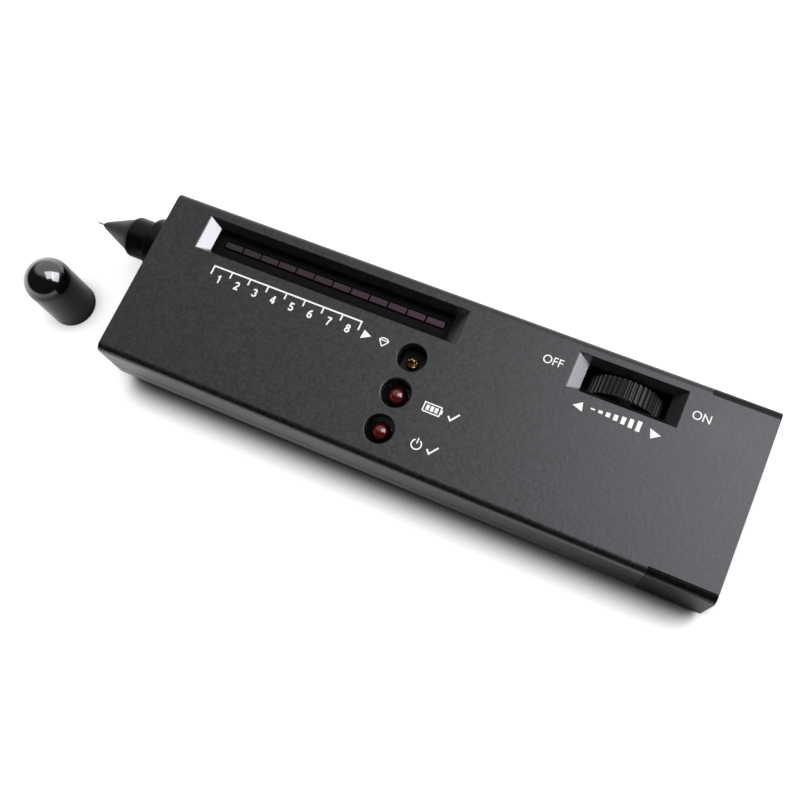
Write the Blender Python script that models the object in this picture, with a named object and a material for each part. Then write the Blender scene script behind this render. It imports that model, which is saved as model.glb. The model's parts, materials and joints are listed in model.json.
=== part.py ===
# Diamond tester: a slim moulded case with a warm probe at its nose, a row of bar lamps,
# two round lamps, a trimmer, a thumbwheel on its switch, and a battery behind a sliding
# end cap. The probe's cap stands beside it, taken off.
# Metres, +Z up. The origin is the middle of the underside. +X runs from nose to tail,
# and +Y points to the side of the bar lamps.

import math

import bpy
import bmesh
from mathutils import Vector

# Fits and cuts
seat_gap = 0.0003
overrun = 0.001
weld_distance = 0.000001
round_profile_share = 0.5

# How finely round shapes are drawn
fine_steps = 32
round_steps = 28
small_steps = 14
edge_steps = 4
lead_smooth_steps = 12
sharp_angle = math.radians(32)
flat_cosine = math.cos(math.radians(1))

# Case
case_length = 0.156
case_width = 0.046
case_height = 0.022
wall = 0.002
top_wall = 0.0024
top_edge_radius = 0.002
bottom_edge_radius = 0.005
parting_height = 0.010
lip_thickness = 0.0009
lip_height = 0.0014
lip_root = 0.0022
lip_past_board = 0.001

# End cap over the battery
end_cap_length = 0.0153
end_cap_wall = 0.0018
end_cap_edge_radius = 0.0025
tongue_length = 0.006
tongue_width = 0.011
tongue_thickness = 0.0012
tongue_root = 0.004
tongue_space = 0.0027
grip_groove_count = 4
grip_groove_width = 0.001
grip_groove_depth = 0.0004
grip_groove_length = 0.018
grip_groove_pitch = 0.0022

# Display opening in the top, its walls sloping in, set over the board
display_side_space = 0.00785
window_front_reach = 0.0014
window_rear_space = 0.0162
window_width = 0.0092
window_end_slope = 0.0031
window_side_slope = 0.0015

# Bar lamps and the spacer round them
bar_count = 12
bar_gap = 0.00045
bar_width = 0.00155
bar_height = 0.007
bar_foot_height = 0.001
bar_foot_margin = 0.0001
bar_drop = 0.0044
bar_row_offset = 0.0004
bar_row_end_space = 0.002185
spacer_overlap = 0.0011
spacer_below_bars = 0.0004

# Column of three round holes, with the trimmer and the two lamps under them
hole_from_window_end = 0.0082
hole_radius = 0.00355
hole_y_shares = (0.598, 0.353, 0.108)
lamp_radius = 0.0025
lamp_rim_radius = 0.0029
lamp_rim_height = 0.001
lamp_drop = 0.0009
trimmer_width = 0.0066
trimmer_height = 0.0058
trimmer_screw_radius = 0.0013
trimmer_screw_height = 0.0023
trimmer_screw_pocket = 0.0014
trimmer_screw_offset = 0.0004
trimmer_slot_width = 0.0005
trimmer_slot_depth = 0.0006

# Thumbwheel, its slot and its potentiometer
wheel_from_tail = 0.0336
wheel_width = 0.0047
wheel_row_offset = 0.00025
wheel_drop = 0.0012
wheel_floor_space = 0.0004
wheel_rib_count = 44
wheel_rib_depth = 0.00055
wheel_rib_share = 0.3
wheel_root_share = 0.42
slot_length = 0.0264
slot_width = 0.0092
slot_end_slope = 0.0031
slot_side_slope = 0.0015
wheel_stand_off = 0.0016
shaft_radius = 0.0024
shaft_shoulder_radius = 0.0036
shaft_depth = 0.003
wheel_screw_head_radius = 0.0034
wheel_screw_head_height = 0.001
wheel_screw_radius = 0.0008
wheel_screw_length = 0.003
pot_inside_wheel = 0.0013
pot_depth = 0.005
pot_foot_width = 0.009
lug_count = 3
lug_width = 0.001
lug_thickness = 0.0004
lug_landing = 0.0014
lug_pitch = 0.0015

# Circuit board, with an arm beside the battery
board_thickness = 0.0016
board_nose_space = 0.010
board_side_space = 0.0018
board_arm_end_space = 0.002
board_arm_space = 0.0012

# Screws and their posts
screw_front_inset = 0.006
screw_rear_inset = 0.008
screw_near_inset = 0.0052
screw_far_inset = 0.0047
screw_front_far_share = 0.617
post_radius = 0.0038
boss_radius = 0.003
screw_radius = 0.0011
screw_length = 0.011
screw_head_radius = 0.0024
screw_head_height = 0.0016
screw_pocket_depth = 0.0045
screw_tip_space = 0.0006
screw_tip_share = 0.5
cross_width = 0.0006
cross_depth = 0.0007

# Battery and its snap contacts
battery_length = 0.046
wheel_side_room = 0.016
contact_spacing_share = 0.4885
stud_radius_share = 0.1115
contact_space = 0.0034
contact_floor = 0.0004
socket_wall = 0.001
snap_thickness = 0.0032
snap_space = 0.0031
snap_side_space = 0.0008
snap_height = 0.0126
snap_edge_radius = 0.001
power_lead_diameter = 0.0012

# Probe
probe_side_space = 0.01205
flange_radius = 0.0071
flange_length = 0.0054
flange_edge = 0.0006
collar_radius = 0.0054
collar_length = 0.0066
collar_edge = 0.0009
neck_radius = 0.0046
barrel_bore_radius = 0.0036
inner_flange_radius = 0.0064
inner_flange_length = 0.002
barrel_tail_length = 0.004
cone_base_radius = 0.0046
cone_tip_wall = 0.00027
cone_length = 0.0085
cone_front_bore_length = 0.0035
spigot_length = 0.004
tip_ring_clearance = 0.00012
tip_ring_wall = 0.00024
tip_ring_reach = 0.0006
tip_ring_length = 0.0034
needle_clearance = 0.00015
needle_radius = 0.00027
needle_reach = 0.0024
needle_point = 0.0004
shank_radius = 0.00085
pin_seat_radius = 0.0026
pin_seat_length = 0.001
heater_radius = 0.0012
heater_length = 0.004
spring_coils = 8
spring_points_a_coil = 10
spring_wire_radius = 0.0002
spring_radius = 0.0022
plug_length = 0.0038
probe_lead_diameter = 0.0008
probe_lead_spacing = 0.0018

# Parts on the board
chip_length_share = 0.3165
chip_x_shares = (0.32, 0.705)
chip_y_share = 0.29
chip_width = 0.0064
chip_height = 0.0034
chip_leg_count = 8
chip_leg_height = 0.0008
chip_leg_share = 0.4
resistor_length = 0.0063
resistor_radius = 0.00115
resistor_waist_radius = 0.0009
resistor_end_share = 0.24
resistor_waist_share = 0.36
resistor_place_shares = ((0.25, 0.5), (0.25, 0.62), (0.4, 0.5), (0.4, 0.62))
capacitor_radius = 0.0031
capacitor_height = 0.0068
capacitor_edge = 0.0004
capacitor_rear_insets = (0.0145, 0.0168)
capacitor_y_shares = (0.713, 0.1875)
transistor_radius = 0.0023
transistor_height = 0.005
transistor_flat_share = 0.4
transistor_rear_inset = 0.0028
transistor_y_share = 0.24
buzzer_radius = 0.006
buzzer_height = 0.007
buzzer_hole_radius = 0.001
buzzer_hole_depth = 0.002
buzzer_edge = 0.0005
buzzer_rear_inset = 0.0085
buzzer_y_share = 0.48

# Metal contact plate under the case
plate_length = 0.030
plate_width = 0.012
plate_thickness = 0.0005
plate_inset = 0.0002
plate_past_screw = 0.009
plate_y = -0.004
plate_corner_radius = 0.002

# Probe cap, standing beside the tester
cap_nose_space = 0.0247
cap_side_inset = 0.0127
cap_radius = 0.00625
cap_height = 0.022
cap_wall = 0.00082
cap_rim_edge = 0.0002
cap_dome_steps = 6

# Places that follow from the sizes
nose_x = -case_length / 2
tail_x = case_length / 2
half_width = case_width / 2
inner_half_width = half_width - wall
ceiling_z = case_height - top_wall
joint_x = tail_x - end_cap_length
case_end_x = joint_x - seat_gap
probe_y = half_width - probe_side_space
probe_z = case_height / 2

battery_width = inner_half_width * 2 - wheel_side_room
battery_thickness = ceiling_z - wall - seat_gap * 2
battery_end_x = tail_x - wall - seat_gap
battery_start_x = battery_end_x - battery_length
battery_near_y = -inner_half_width + seat_gap
battery_far_y = battery_near_y + battery_width
battery_mid_y = (battery_near_y + battery_far_y) / 2
battery_low_z = wall + seat_gap
battery_mid_z = battery_low_z + battery_thickness / 2
contact_spacing = battery_width * contact_spacing_share
stud_radius = battery_width * stud_radius_share
snap_face_x = battery_start_x - contact_space
tongue_y = battery_far_y + tongue_space + tongue_width / 2

wheel_x = tail_x - wheel_from_tail
wheel_radius = (case_height - wheel_drop - wall - wheel_floor_space) / 2
wheel_z = case_height - wheel_drop - wheel_radius
display_y = half_width - display_side_space
wheel_mid_y = display_y + wheel_row_offset
wheel_near_y = wheel_mid_y - wheel_width / 2
wheel_far_y = wheel_mid_y + wheel_width / 2
pot_face_y = wheel_near_y - wheel_stand_off
pot_radius = wheel_radius - pot_inside_wheel

board_top_z = case_height - bar_drop - bar_height - seat_gap
board_low_z = board_top_z - board_thickness
part_z = board_top_z + seat_gap
board_start_x = nose_x + wall + board_nose_space
board_end_x = snap_face_x - snap_thickness - snap_space
board_length = board_end_x - board_start_x
board_half_width = inner_half_width - board_side_space
board_arm_end_x = wheel_x - wheel_radius - board_arm_end_space
screw_front_x = board_start_x + screw_front_inset
screw_rear_x = board_end_x - screw_rear_inset
screw_near_y = -board_half_width + screw_near_inset
screw_front_far_y = board_half_width * (screw_front_far_share * 2 - 1)
screw_rear_far_y = board_half_width - screw_far_inset
screw_places = (
    (screw_front_x, screw_near_y),
    (screw_front_x, screw_front_far_y),
    (screw_rear_x, screw_near_y),
    (screw_rear_x, screw_rear_far_y),
)
plate_x = screw_front_x + plate_past_screw + plate_length / 2

window_start_x = board_start_x - window_front_reach
window_end_x = board_end_x - window_rear_space
window_x = (window_start_x + window_end_x) / 2
window_length = window_end_x - window_start_x
bar_row_length = window_length - window_end_slope * 2 - bar_row_end_space * 2
bar_pitch = (bar_row_length + bar_gap) / bar_count
bar_length = bar_pitch - bar_gap
bar_row_y = display_y + bar_row_offset
hole_x = window_end_x - hole_from_window_end
hole_ys = [board_half_width * (share * 2 - 1) for share in hole_y_shares]
trimmer_y = hole_ys[0]
chip_run = hole_x - board_start_x
chip_length = chip_run * chip_length_share

barrel_front = flange_length + collar_length
cone_base = barrel_front + seat_gap
cone_tip = cone_base + cone_length
cone_step = cone_tip - cone_front_bore_length
tip_ring_bore_radius = needle_radius + needle_clearance
tip_ring_radius = tip_ring_bore_radius + tip_ring_wall
cone_bore_radius = tip_ring_radius + tip_ring_clearance
cone_tip_radius = cone_bore_radius + cone_tip_wall
spigot_rear = cone_base - spigot_length
pin_seat_front = spigot_rear - seat_gap
pin_seat_rear = pin_seat_front - pin_seat_length
barrel_rear = -(wall + seat_gap + inner_flange_length + barrel_tail_length)
plug_front = barrel_rear + plug_length
cap_x = nose_x - cap_nose_space
cap_y = -half_width + cap_side_inset


# Making solids

def place(name, mesh):
    data = bpy.data.meshes.new(name)
    mesh.to_mesh(data)
    mesh.free()
    piece = bpy.data.objects.new(name, data)
    bpy.context.scene.collection.objects.link(piece)
    return piece


def lofted(name, rings):
    # Rings of points, joined in order and closed at both ends.
    mesh = bmesh.new()
    loops = [[mesh.verts.new(point) for point in ring] for ring in rings]
    for lower, upper in zip(loops, loops[1:]):
        for index, first in enumerate(lower):
            after = (index + 1) % len(lower)
            mesh.faces.new((first, lower[after], upper[after], upper[index]))
    mesh.faces.new(reversed(loops[0]))
    mesh.faces.new(loops[-1])
    bmesh.ops.recalc_face_normals(mesh, faces=mesh.faces)
    return place(name, mesh)


def cuboid(low, high):
    mesh = bmesh.new()
    bmesh.ops.create_cube(mesh, size=2)
    low, high = Vector(low), Vector(high)
    for vertex in mesh.verts:
        vertex.co = (low + high) / 2 + vertex.co * (high - low) / 2
    return mesh


def block(name, low, high):
    return place(name, cuboid(low, high))


def runs_along(edge, axis):
    run = edge.verts[1].co - edge.verts[0].co
    return abs(run[axis]) > run.length * round_profile_share and abs(run[axis]) > weld_distance


def middle(edge):
    return (edge.verts[0].co + edge.verts[1].co) / 2


def round_edges(mesh, chosen, radius):
    edges = [edge for edge in mesh.edges if chosen(edge)]
    bmesh.ops.bevel(
        mesh, geom=edges, offset=radius, segments=edge_steps,
        profile=round_profile_share, affect='EDGES', clamp_overlap=True,
    )


def turned(name, profile, origin, axis, steps):
    # A closed profile of (distance along the axis, radius), spun round the axis.
    axis = Vector(axis).normalized()
    side = axis.orthogonal().normalized()
    mesh = bmesh.new()
    points = [mesh.verts.new(Vector(origin) + axis * along + side * radius) for along, radius in profile]
    edges = []
    for index, point in enumerate(points):
        after = (index + 1) % len(points)
        if profile[index][1] > 0 or profile[after][1] > 0:
            edges.append(mesh.edges.new((point, points[after])))
    bmesh.ops.spin(
        mesh, geom=points + edges, cent=origin, axis=axis, angle=math.tau,
        steps=steps, use_duplicate=False,
    )
    bmesh.ops.remove_doubles(mesh, verts=mesh.verts, dist=weld_distance)
    bmesh.ops.recalc_face_normals(mesh, faces=mesh.faces)
    # A flat end is one face, not a fan round its middle.
    centres = [
        vertex for vertex in mesh.verts
        if (vertex.co - Vector(origin)).cross(axis).length < weld_distance
        and all(abs(face.normal.dot(axis)) > flat_cosine for face in vertex.link_faces)
    ]
    bmesh.ops.dissolve_verts(mesh, verts=centres)
    return place(name, mesh)


def rod(name, start, end, radius, steps):
    start, end = Vector(start), Vector(end)
    length = (end - start).length
    profile = [(0, 0), (0, radius), (length, radius), (length, 0)]
    return turned(name, profile, start, end - start, steps)


def tube(name, start, end, outer, bore, steps):
    start, end = Vector(start), Vector(end)
    length = (end - start).length
    profile = [(0, bore), (0, outer), (length, outer), (length, bore)]
    return turned(name, profile, start, end - start, steps)


def combine(piece, operation, tools):
    # Booleans are applied in order, and their tools are taken away.
    for tool in tools:
        change = piece.modifiers.new(tool.name, 'BOOLEAN')
        change.operation = operation
        change.solver = 'EXACT'
        change.object = tool
    graph = bpy.context.evaluated_depsgraph_get()
    result = bpy.data.meshes.new_from_object(piece.evaluated_get(graph))
    piece.modifiers.clear()
    piece.data = result
    for tool in tools:
        bpy.data.objects.remove(tool)
    return piece


def cut(piece, *tools):
    return combine(piece, 'DIFFERENCE', tools)


def fuse(piece, *tools):
    return combine(piece, 'UNION', tools)


def finish(piece, colour, roughness, metallic=0):
    material = bpy.data.materials.new(piece.name)
    material.use_nodes = True
    shader = material.node_tree.nodes['Principled BSDF']
    shader.inputs['Base Color'].default_value = (*colour, 1)
    shader.inputs['Roughness'].default_value = roughness
    shader.inputs['Metallic'].default_value = metallic
    piece.data.materials.clear()
    piece.data.materials.append(material)
    if piece.type == 'MESH':
        piece.data.shade_smooth()
        piece.data.set_sharp_from_angle(angle=sharp_angle)
    return piece


def flared_cutter(name, x, y, length, width, end_slope, side_slope):
    # Full size at the top face and smaller by its slopes at the ceiling.
    def ring(z, half_length, half_side):
        return [
            (x - half_length, y - half_side, z), (x + half_length, y - half_side, z),
            (x + half_length, y + half_side, z), (x - half_length, y + half_side, z),
        ]
    inner_length, inner_width = length / 2 - end_slope, width / 2 - side_slope
    outer_length = length / 2 + end_slope * overrun / top_wall
    outer_width = width / 2 + side_slope * overrun / top_wall
    return lofted(name, [
        ring(ceiling_z - overrun, inner_length, inner_width),
        ring(ceiling_z, inner_length, inner_width),
        ring(case_height + overrun, outer_length, outer_width),
    ])


def arc(centre_along, centre_radius, radius, start, end, steps):
    # Points of a rounded corner in a turned profile.
    turns = [start + (end - start) * step / steps for step in range(steps + 1)]
    return [
        (centre_along + radius * math.sin(turn), centre_radius + radius * math.cos(turn))
        for turn in turns
    ]


def on_board(x_share, y_share):
    return board_start_x + board_length * x_share, board_half_width * (y_share * 2 - 1)


def smooth_route(points):
    # A smooth curve through every point, each stretch drawn in equal steps.
    points = [Vector(point) for point in points]
    ends = [points[0] * 2 - points[1]] + points + [points[-1] * 2 - points[-2]]
    route = []
    for before, start, end, after in zip(ends, ends[1:], ends[2:], ends[3:]):
        for step in range(lead_smooth_steps):
            t = step / lead_smooth_steps
            route.append((
                start * 2 + (end - before) * t
                + (before * 2 - start * 5 + end * 4 - after) * t ** 2
                + (start * 3 - before - end * 3 + after) * t ** 3
            ) / 2)
    return route + [points[-1]]


def spaced(route, spacing):
    # The same route with points about one spacing apart.
    lengths = [0]
    for first, last in zip(route, route[1:]):
        lengths.append(lengths[-1] + (last - first).length)
    count = max(2, round(lengths[-1] / spacing))
    result = []
    for index in range(count + 1):
        wanted = lengths[-1] * index / count
        after = next(i for i, reach in enumerate(lengths) if reach >= wanted or i == len(lengths) - 1)
        before = max(after - 1, 0)
        span = lengths[after] - lengths[before]
        part = (wanted - lengths[before]) / span if span else 0
        result.append(route[before].lerp(route[after], part))
    return result


def wire(name, points, radius, resolution):
    data = bpy.data.curves.new(name, 'CURVE')
    data.dimensions = '3D'
    data.bevel_depth = radius
    data.bevel_resolution = resolution
    data.use_fill_caps = True
    spline = data.splines.new('POLY')
    spline.points.add(len(points) - 1)
    for point, place_of in zip(spline.points, points):
        point.co = (*place_of, 1)
    piece = bpy.data.objects.new(name, data)
    bpy.context.scene.collection.objects.link(piece)
    return piece


# Case

def probe_hole(name):
    low = (nose_x - overrun, probe_y, probe_z)
    high = (nose_x + wall + overrun, probe_y, probe_z)
    return rod(name, low, high, neck_radius + seat_gap, round_steps)


def make_top_cover():
    low_z = parting_height + seat_gap
    mesh = cuboid((nose_x, -half_width, low_z), (tail_x, half_width, case_height))
    round_edges(
        mesh, lambda edge: runs_along(edge, 0) and middle(edge).z > ceiling_z, top_edge_radius,
    )
    cover = place('top_cover', mesh)
    lid_half_width = half_width - end_cap_wall - seat_gap
    cavity = block(
        'cavity', (nose_x + wall, -inner_half_width, low_z - overrun),
        (tail_x + overrun, inner_half_width, ceiling_z),
    )
    sides = [
        block(
            'side', (case_end_x, min(side * lid_half_width, side * (half_width + overrun)), low_z - overrun),
            (tail_x + overrun, max(side * lid_half_width, side * (half_width + overrun)),
             case_height + overrun),
        )
        for side in (-1, 1)
    ]
    cut(cover, cavity, *sides)
    bosses = [
        rod('boss', (x, y, part_z), (x, y, ceiling_z + top_wall / 2), boss_radius, round_steps)
        for x, y in screw_places
    ]
    fuse(cover, *bosses)
    screw_top_z = screw_pocket_depth - seat_gap + screw_length + screw_tip_space
    pilots = [
        rod('pilot', (x, y, part_z - overrun), (x, y, screw_top_z), screw_radius + seat_gap, small_steps)
        for x, y in screw_places
    ]
    holes = [
        rod('hole', (hole_x, y, ceiling_z - overrun), (hole_x, y, case_height + overrun),
            hole_radius, fine_steps)
        for y in hole_ys
    ]
    window = flared_cutter(
        'window', window_x, display_y, window_length, window_width, window_end_slope, window_side_slope,
    )
    slot = flared_cutter(
        'slot', wheel_x, display_y, slot_length, slot_width, slot_end_slope, slot_side_slope,
    )
    cut(cover, window, slot, probe_hole('probe_hole'), *holes, *pilots)
    return finish(cover, (0.055, 0.055, 0.057), 0.55)


def make_bottom_cover():
    mesh = cuboid((nose_x, -half_width, 0), (case_end_x, half_width, parting_height))
    round_edges(
        mesh,
        lambda edge: middle(edge).z < wall and (
            runs_along(edge, 0) or (runs_along(edge, 1) and middle(edge).x < 0)
        ),
        bottom_edge_radius,
    )
    cover = place('bottom_cover', mesh)
    hollow = cuboid(
        (nose_x + wall, -inner_half_width, wall),
        (case_end_x + bottom_edge_radius, inner_half_width, parting_height + overrun),
    )
    round_edges(
        hollow, lambda edge: middle(edge).z < parting_height / 2 and runs_along(edge, 0),
        bottom_edge_radius - wall,
    )
    cut(cover, place('hollow', hollow))

    lip_start_x = nose_x + wall + inner_flange_length + board_nose_space / 2
    lip_end_x = board_end_x + lip_past_board
    lip_outer = inner_half_width - seat_gap
    lip_inner = lip_outer - lip_thickness
    in_wall = inner_half_width + wall / 2
    lip_profile = [
        (lip_inner, parting_height - lip_root), (in_wall, parting_height - lip_root),
        (in_wall, parting_height - seat_gap), (lip_outer, parting_height - seat_gap),
        (lip_outer, parting_height + lip_height), (lip_inner, parting_height + lip_height),
    ]
    lips = [
        lofted('lip', [[(x, side * y, z) for y, z in lip_profile] for x in (lip_start_x, lip_end_x)])
        for side in (-1, 1)
    ]
    posts = [
        rod('post', (x, y, wall / 2), (x, y, board_low_z - seat_gap), post_radius, round_steps)
        for x, y in screw_places
    ]
    fuse(cover, *lips, *posts)

    pockets = [
        rod('pocket', (x, y, -overrun), (x, y, screw_pocket_depth),
            screw_head_radius + seat_gap, round_steps)
        for x, y in screw_places
    ]
    passages = [
        rod('passage', (x, y, screw_pocket_depth - overrun), (x, y, board_low_z + overrun),
            screw_radius + seat_gap, small_steps)
        for x, y in screw_places
    ]
    recess = cuboid(
        (plate_x - plate_length / 2 - seat_gap, plate_y - plate_width / 2 - seat_gap, -overrun),
        (plate_x + plate_length / 2 + seat_gap, plate_y + plate_width / 2 + seat_gap,
         plate_inset + plate_thickness + seat_gap),
    )
    round_edges(recess, lambda edge: runs_along(edge, 2), plate_corner_radius + seat_gap)
    cut(cover, *pockets)
    cut(cover, place('recess', recess), probe_hole('probe_hole'), *passages)
    return finish(cover, (0.04, 0.04, 0.042), 0.5)


def make_battery_cover():
    mesh = cuboid((joint_x, -half_width, 0), (tail_x, half_width, case_height))
    round_edges(
        mesh, lambda edge: runs_along(edge, 0) and middle(edge).z > ceiling_z, top_edge_radius,
    )
    round_edges(
        mesh,
        lambda edge: middle(edge).z < wall and (
            runs_along(edge, 0) or (runs_along(edge, 1) and middle(edge).x > joint_x + overrun)
        ),
        end_cap_edge_radius,
    )
    cover = place('battery_cover', mesh)
    cap_half_width = half_width - end_cap_wall
    hollow = block(
        'hollow', (joint_x - overrun, -cap_half_width, wall),
        (tail_x - wall, cap_half_width, case_height + overrun),
    )
    lid_space = block(
        'lid_space', (tail_x - wall - overrun, -cap_half_width, ceiling_z - seat_gap),
        (tail_x + overrun, cap_half_width, case_height + overrun),
    )
    grooves = [
        block(
            'groove',
            (joint_x + end_cap_length / 2 + grip_groove_pitch * (index - grip_groove_count / 2),
             -grip_groove_length / 2, -overrun),
            (joint_x + end_cap_length / 2 + grip_groove_pitch * (index - grip_groove_count / 2)
             + grip_groove_width, grip_groove_length / 2, grip_groove_depth),
        )
        for index in range(grip_groove_count)
    ]
    cut(cover, hollow, lid_space, *grooves)
    tongue_z = wall + seat_gap
    tongue = block(
        'tongue', (joint_x - tongue_length, tongue_y - tongue_width / 2, tongue_z),
        (joint_x + tongue_root, tongue_y + tongue_width / 2, tongue_z + tongue_thickness),
    )
    riser = block(
        'riser', (joint_x + seat_gap, tongue_y - tongue_width / 2, wall / 2),
        (joint_x + tongue_root, tongue_y + tongue_width / 2, tongue_z + tongue_thickness / 2),
    )
    fuse(cover, tongue)
    fuse(cover, riser)
    return finish(cover, (0.04, 0.04, 0.042), 0.5)


def screw(name, x, y):
    head_top = screw_pocket_depth - seat_gap
    head_low = head_top - screw_head_height
    tip = screw_radius
    profile = [
        (0, 0), (0, screw_head_radius - overrun / 2), (screw_head_height / 2, screw_head_radius),
        (screw_head_height, screw_head_radius), (screw_head_height, screw_radius),
        (screw_head_height + screw_length - tip, screw_radius),
        (screw_head_height + screw_length, screw_radius * screw_tip_share),
        (screw_head_height + screw_length, 0),
    ]
    piece = turned(name, profile, (x, y, head_low), (0, 0, 1), small_steps)
    arm = screw_head_radius / 2
    crosses = [
        block('cross', (x - reach_x, y - reach_y, head_low - overrun),
              (x + reach_x, y + reach_y, head_low + cross_depth))
        for reach_x, reach_y in ((arm, cross_width / 2), (cross_width / 2, arm))
    ]
    return cut(piece, *crosses)


def make_case_screws():
    for index, (x, y) in enumerate(screw_places, 1):
        finish(screw(f'case_screw_{index}', x, y), (0.55, 0.55, 0.56), 0.35, 1)


def make_contact_plate():
    mesh = cuboid(
        (plate_x - plate_length / 2, plate_y - plate_width / 2, plate_inset),
        (plate_x + plate_length / 2, plate_y + plate_width / 2, plate_inset + plate_thickness),
    )
    round_edges(mesh, lambda edge: runs_along(edge, 2), plate_corner_radius)
    return finish(place('contact_plate', mesh), (0.62, 0.6, 0.55), 0.3, 1)


# Board and what stands on it

def make_circuit_board():
    board = block(
        'circuit_board', (board_start_x, -board_half_width, board_low_z),
        (board_end_x, board_half_width, board_top_z),
    )
    arm = block(
        'arm', (board_end_x - overrun, battery_far_y + board_arm_space, board_low_z),
        (board_arm_end_x, board_half_width, board_top_z),
    )
    fuse(board, arm)
    holes = [
        rod('hole', (x, y, board_low_z - overrun), (x, y, board_top_z + overrun),
            screw_radius + seat_gap, small_steps)
        for x, y in screw_places
    ]
    cut(board, *holes)
    return finish(board, (0.03, 0.18, 0.08), 0.4)


def make_bar_leds():
    first_x = window_x - bar_pitch * (bar_count - 1) / 2
    top_z = case_height - bar_drop
    for index in range(bar_count):
        x = first_x + bar_pitch * index
        half_length, half_side = bar_length / 2, bar_width / 2
        foot_length, foot_side = half_length + bar_foot_margin, half_side + bar_foot_margin
        rings = [
            [(x + dx * length, bar_row_y + dy * side, z) for dx, dy in ((-1, -1), (1, -1), (1, 1), (-1, 1))]
            for length, side, z in (
                (foot_length, foot_side, part_z),
                (foot_length, foot_side, part_z + bar_foot_height),
                (half_length, half_side, part_z + bar_foot_height),
                (half_length, half_side, top_z),
            )
        ]
        finish(lofted(f'bar_led_{index + 1}', rings), (0.09, 0.06, 0.075), 0.35)


def make_bar_led_holder():
    inner_length = window_length / 2 - window_end_slope + spacer_overlap
    inner_width = window_width / 2 - window_side_slope + spacer_overlap
    holder = block(
        'bar_led_holder', (window_x - inner_length, display_y - inner_width, part_z),
        (window_x + inner_length, display_y + inner_width, case_height - bar_drop - spacer_below_bars),
    )
    row_half_length = bar_row_length / 2 + bar_foot_margin + seat_gap
    row_half_width = bar_width / 2 + bar_foot_margin + seat_gap
    row = block(
        'row', (window_x - row_half_length, bar_row_y - row_half_width, part_z - overrun),
        (window_x + row_half_length, bar_row_y + row_half_width, case_height),
    )
    return finish(cut(holder, row), (0.012, 0.012, 0.013), 0.6)


def make_lamp(name, y):
    dome_z = case_height - lamp_drop - lamp_radius
    dome = arc(dome_z - part_z, 0, lamp_radius, 0, math.pi / 2, edge_steps)
    profile = [(0, 0), (0, lamp_rim_radius), (lamp_rim_height, lamp_rim_radius),
               (lamp_rim_height, lamp_radius)] + dome[:-1] + [(dome_z - part_z + lamp_radius, 0)]
    lamp = turned(name, profile, (hole_x, y, part_z), (0, 0, 1), round_steps)
    return finish(lamp, (0.55, 0.02, 0.02), 0.15)


def make_trimmer():
    half = trimmer_width / 2
    top_z = part_z + trimmer_height
    body = block(
        'trimmer_body', (hole_x - half, trimmer_y - half, part_z), (hole_x + half, trimmer_y + half, top_z),
    )
    pocket_z = top_z - trimmer_screw_pocket
    screw_x = hole_x - trimmer_screw_offset
    pocket = rod(
        'pocket', (screw_x, trimmer_y, pocket_z), (screw_x, trimmer_y, top_z + overrun),
        trimmer_screw_radius + seat_gap, round_steps,
    )
    finish(cut(body, pocket), (0.02, 0.02, 0.022), 0.4)
    screw_low_z = pocket_z + seat_gap
    screw_top_z = screw_low_z + trimmer_screw_height
    rotor = rod(
        'trimmer_screw', (screw_x, trimmer_y, screw_low_z), (screw_x, trimmer_y, screw_top_z),
        trimmer_screw_radius, round_steps,
    )
    groove = block(
        'groove', (hole_x - trimmer_width, trimmer_y - trimmer_slot_width / 2, screw_top_z - trimmer_slot_depth),
        (hole_x + trimmer_width, trimmer_y + trimmer_slot_width / 2, screw_top_z + overrun),
    )
    cut(rotor, groove)
    set_origin(rotor, (screw_x, trimmer_y, screw_low_z))
    return finish(rotor, (0.7, 0.45, 0.15), 0.25, 1)


def set_origin(piece, origin):
    # The mesh stays where it is in the world, and the object's origin moves.
    origin = Vector(origin)
    for vertex in piece.data.vertices:
        vertex.co -= origin
    piece.location = origin


def make_chips():
    top = part_z + chip_leg_height + chip_height
    pitch = chip_length / chip_leg_count
    for number, share in enumerate(chip_x_shares, 1):
        start = board_start_x + chip_run * share - chip_length / 2
        y = board_half_width * (chip_y_share * 2 - 1)
        outline = [(start, part_z + chip_leg_height)]
        for index in range(chip_leg_count):
            centre = start + pitch * index + pitch / 2
            half_leg = pitch * chip_leg_share / 2
            outline += [
                (centre - half_leg, part_z + chip_leg_height), (centre - half_leg, part_z),
                (centre + half_leg, part_z), (centre + half_leg, part_z + chip_leg_height),
            ]
        outline += [(start + chip_length, part_z + chip_leg_height), (start + chip_length, top), (start, top)]
        rings = [[(px, y + side * chip_width / 2, pz) for px, pz in outline] for side in (-1, 1)]
        finish(lofted(f'chip_{number}', rings), (0.02, 0.02, 0.02), 0.45)


def make_resistors():
    end = resistor_length * resistor_end_share
    waist = resistor_length * resistor_waist_share
    profile = [
        (0, 0), (0, resistor_radius), (end, resistor_radius), (waist, resistor_waist_radius),
        (resistor_length - waist, resistor_waist_radius), (resistor_length - end, resistor_radius),
        (resistor_length, resistor_radius), (resistor_length, 0),
    ]
    for number, shares in enumerate(resistor_place_shares, 1):
        x, y = on_board(*shares)
        origin = (x - resistor_length / 2, y, part_z + resistor_radius)
        finish(turned(f'resistor_{number}', profile, origin, (1, 0, 0), small_steps), (0.45, 0.33, 0.2), 0.5)


def make_capacitors():
    profile = [
        (0, 0), (0, capacitor_radius), (capacitor_height - capacitor_edge, capacitor_radius),
        (capacitor_height, capacitor_radius - capacitor_edge), (capacitor_height, 0),
    ]
    for number, (inset, share) in enumerate(zip(capacitor_rear_insets, capacitor_y_shares), 1):
        x, y = board_end_x - inset, board_half_width * (share * 2 - 1)
        capacitor = turned(f'capacitor_{number}', profile, (x, y, part_z), (0, 0, 1), small_steps)
        finish(capacitor, (0.03, 0.04, 0.12), 0.35)


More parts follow.
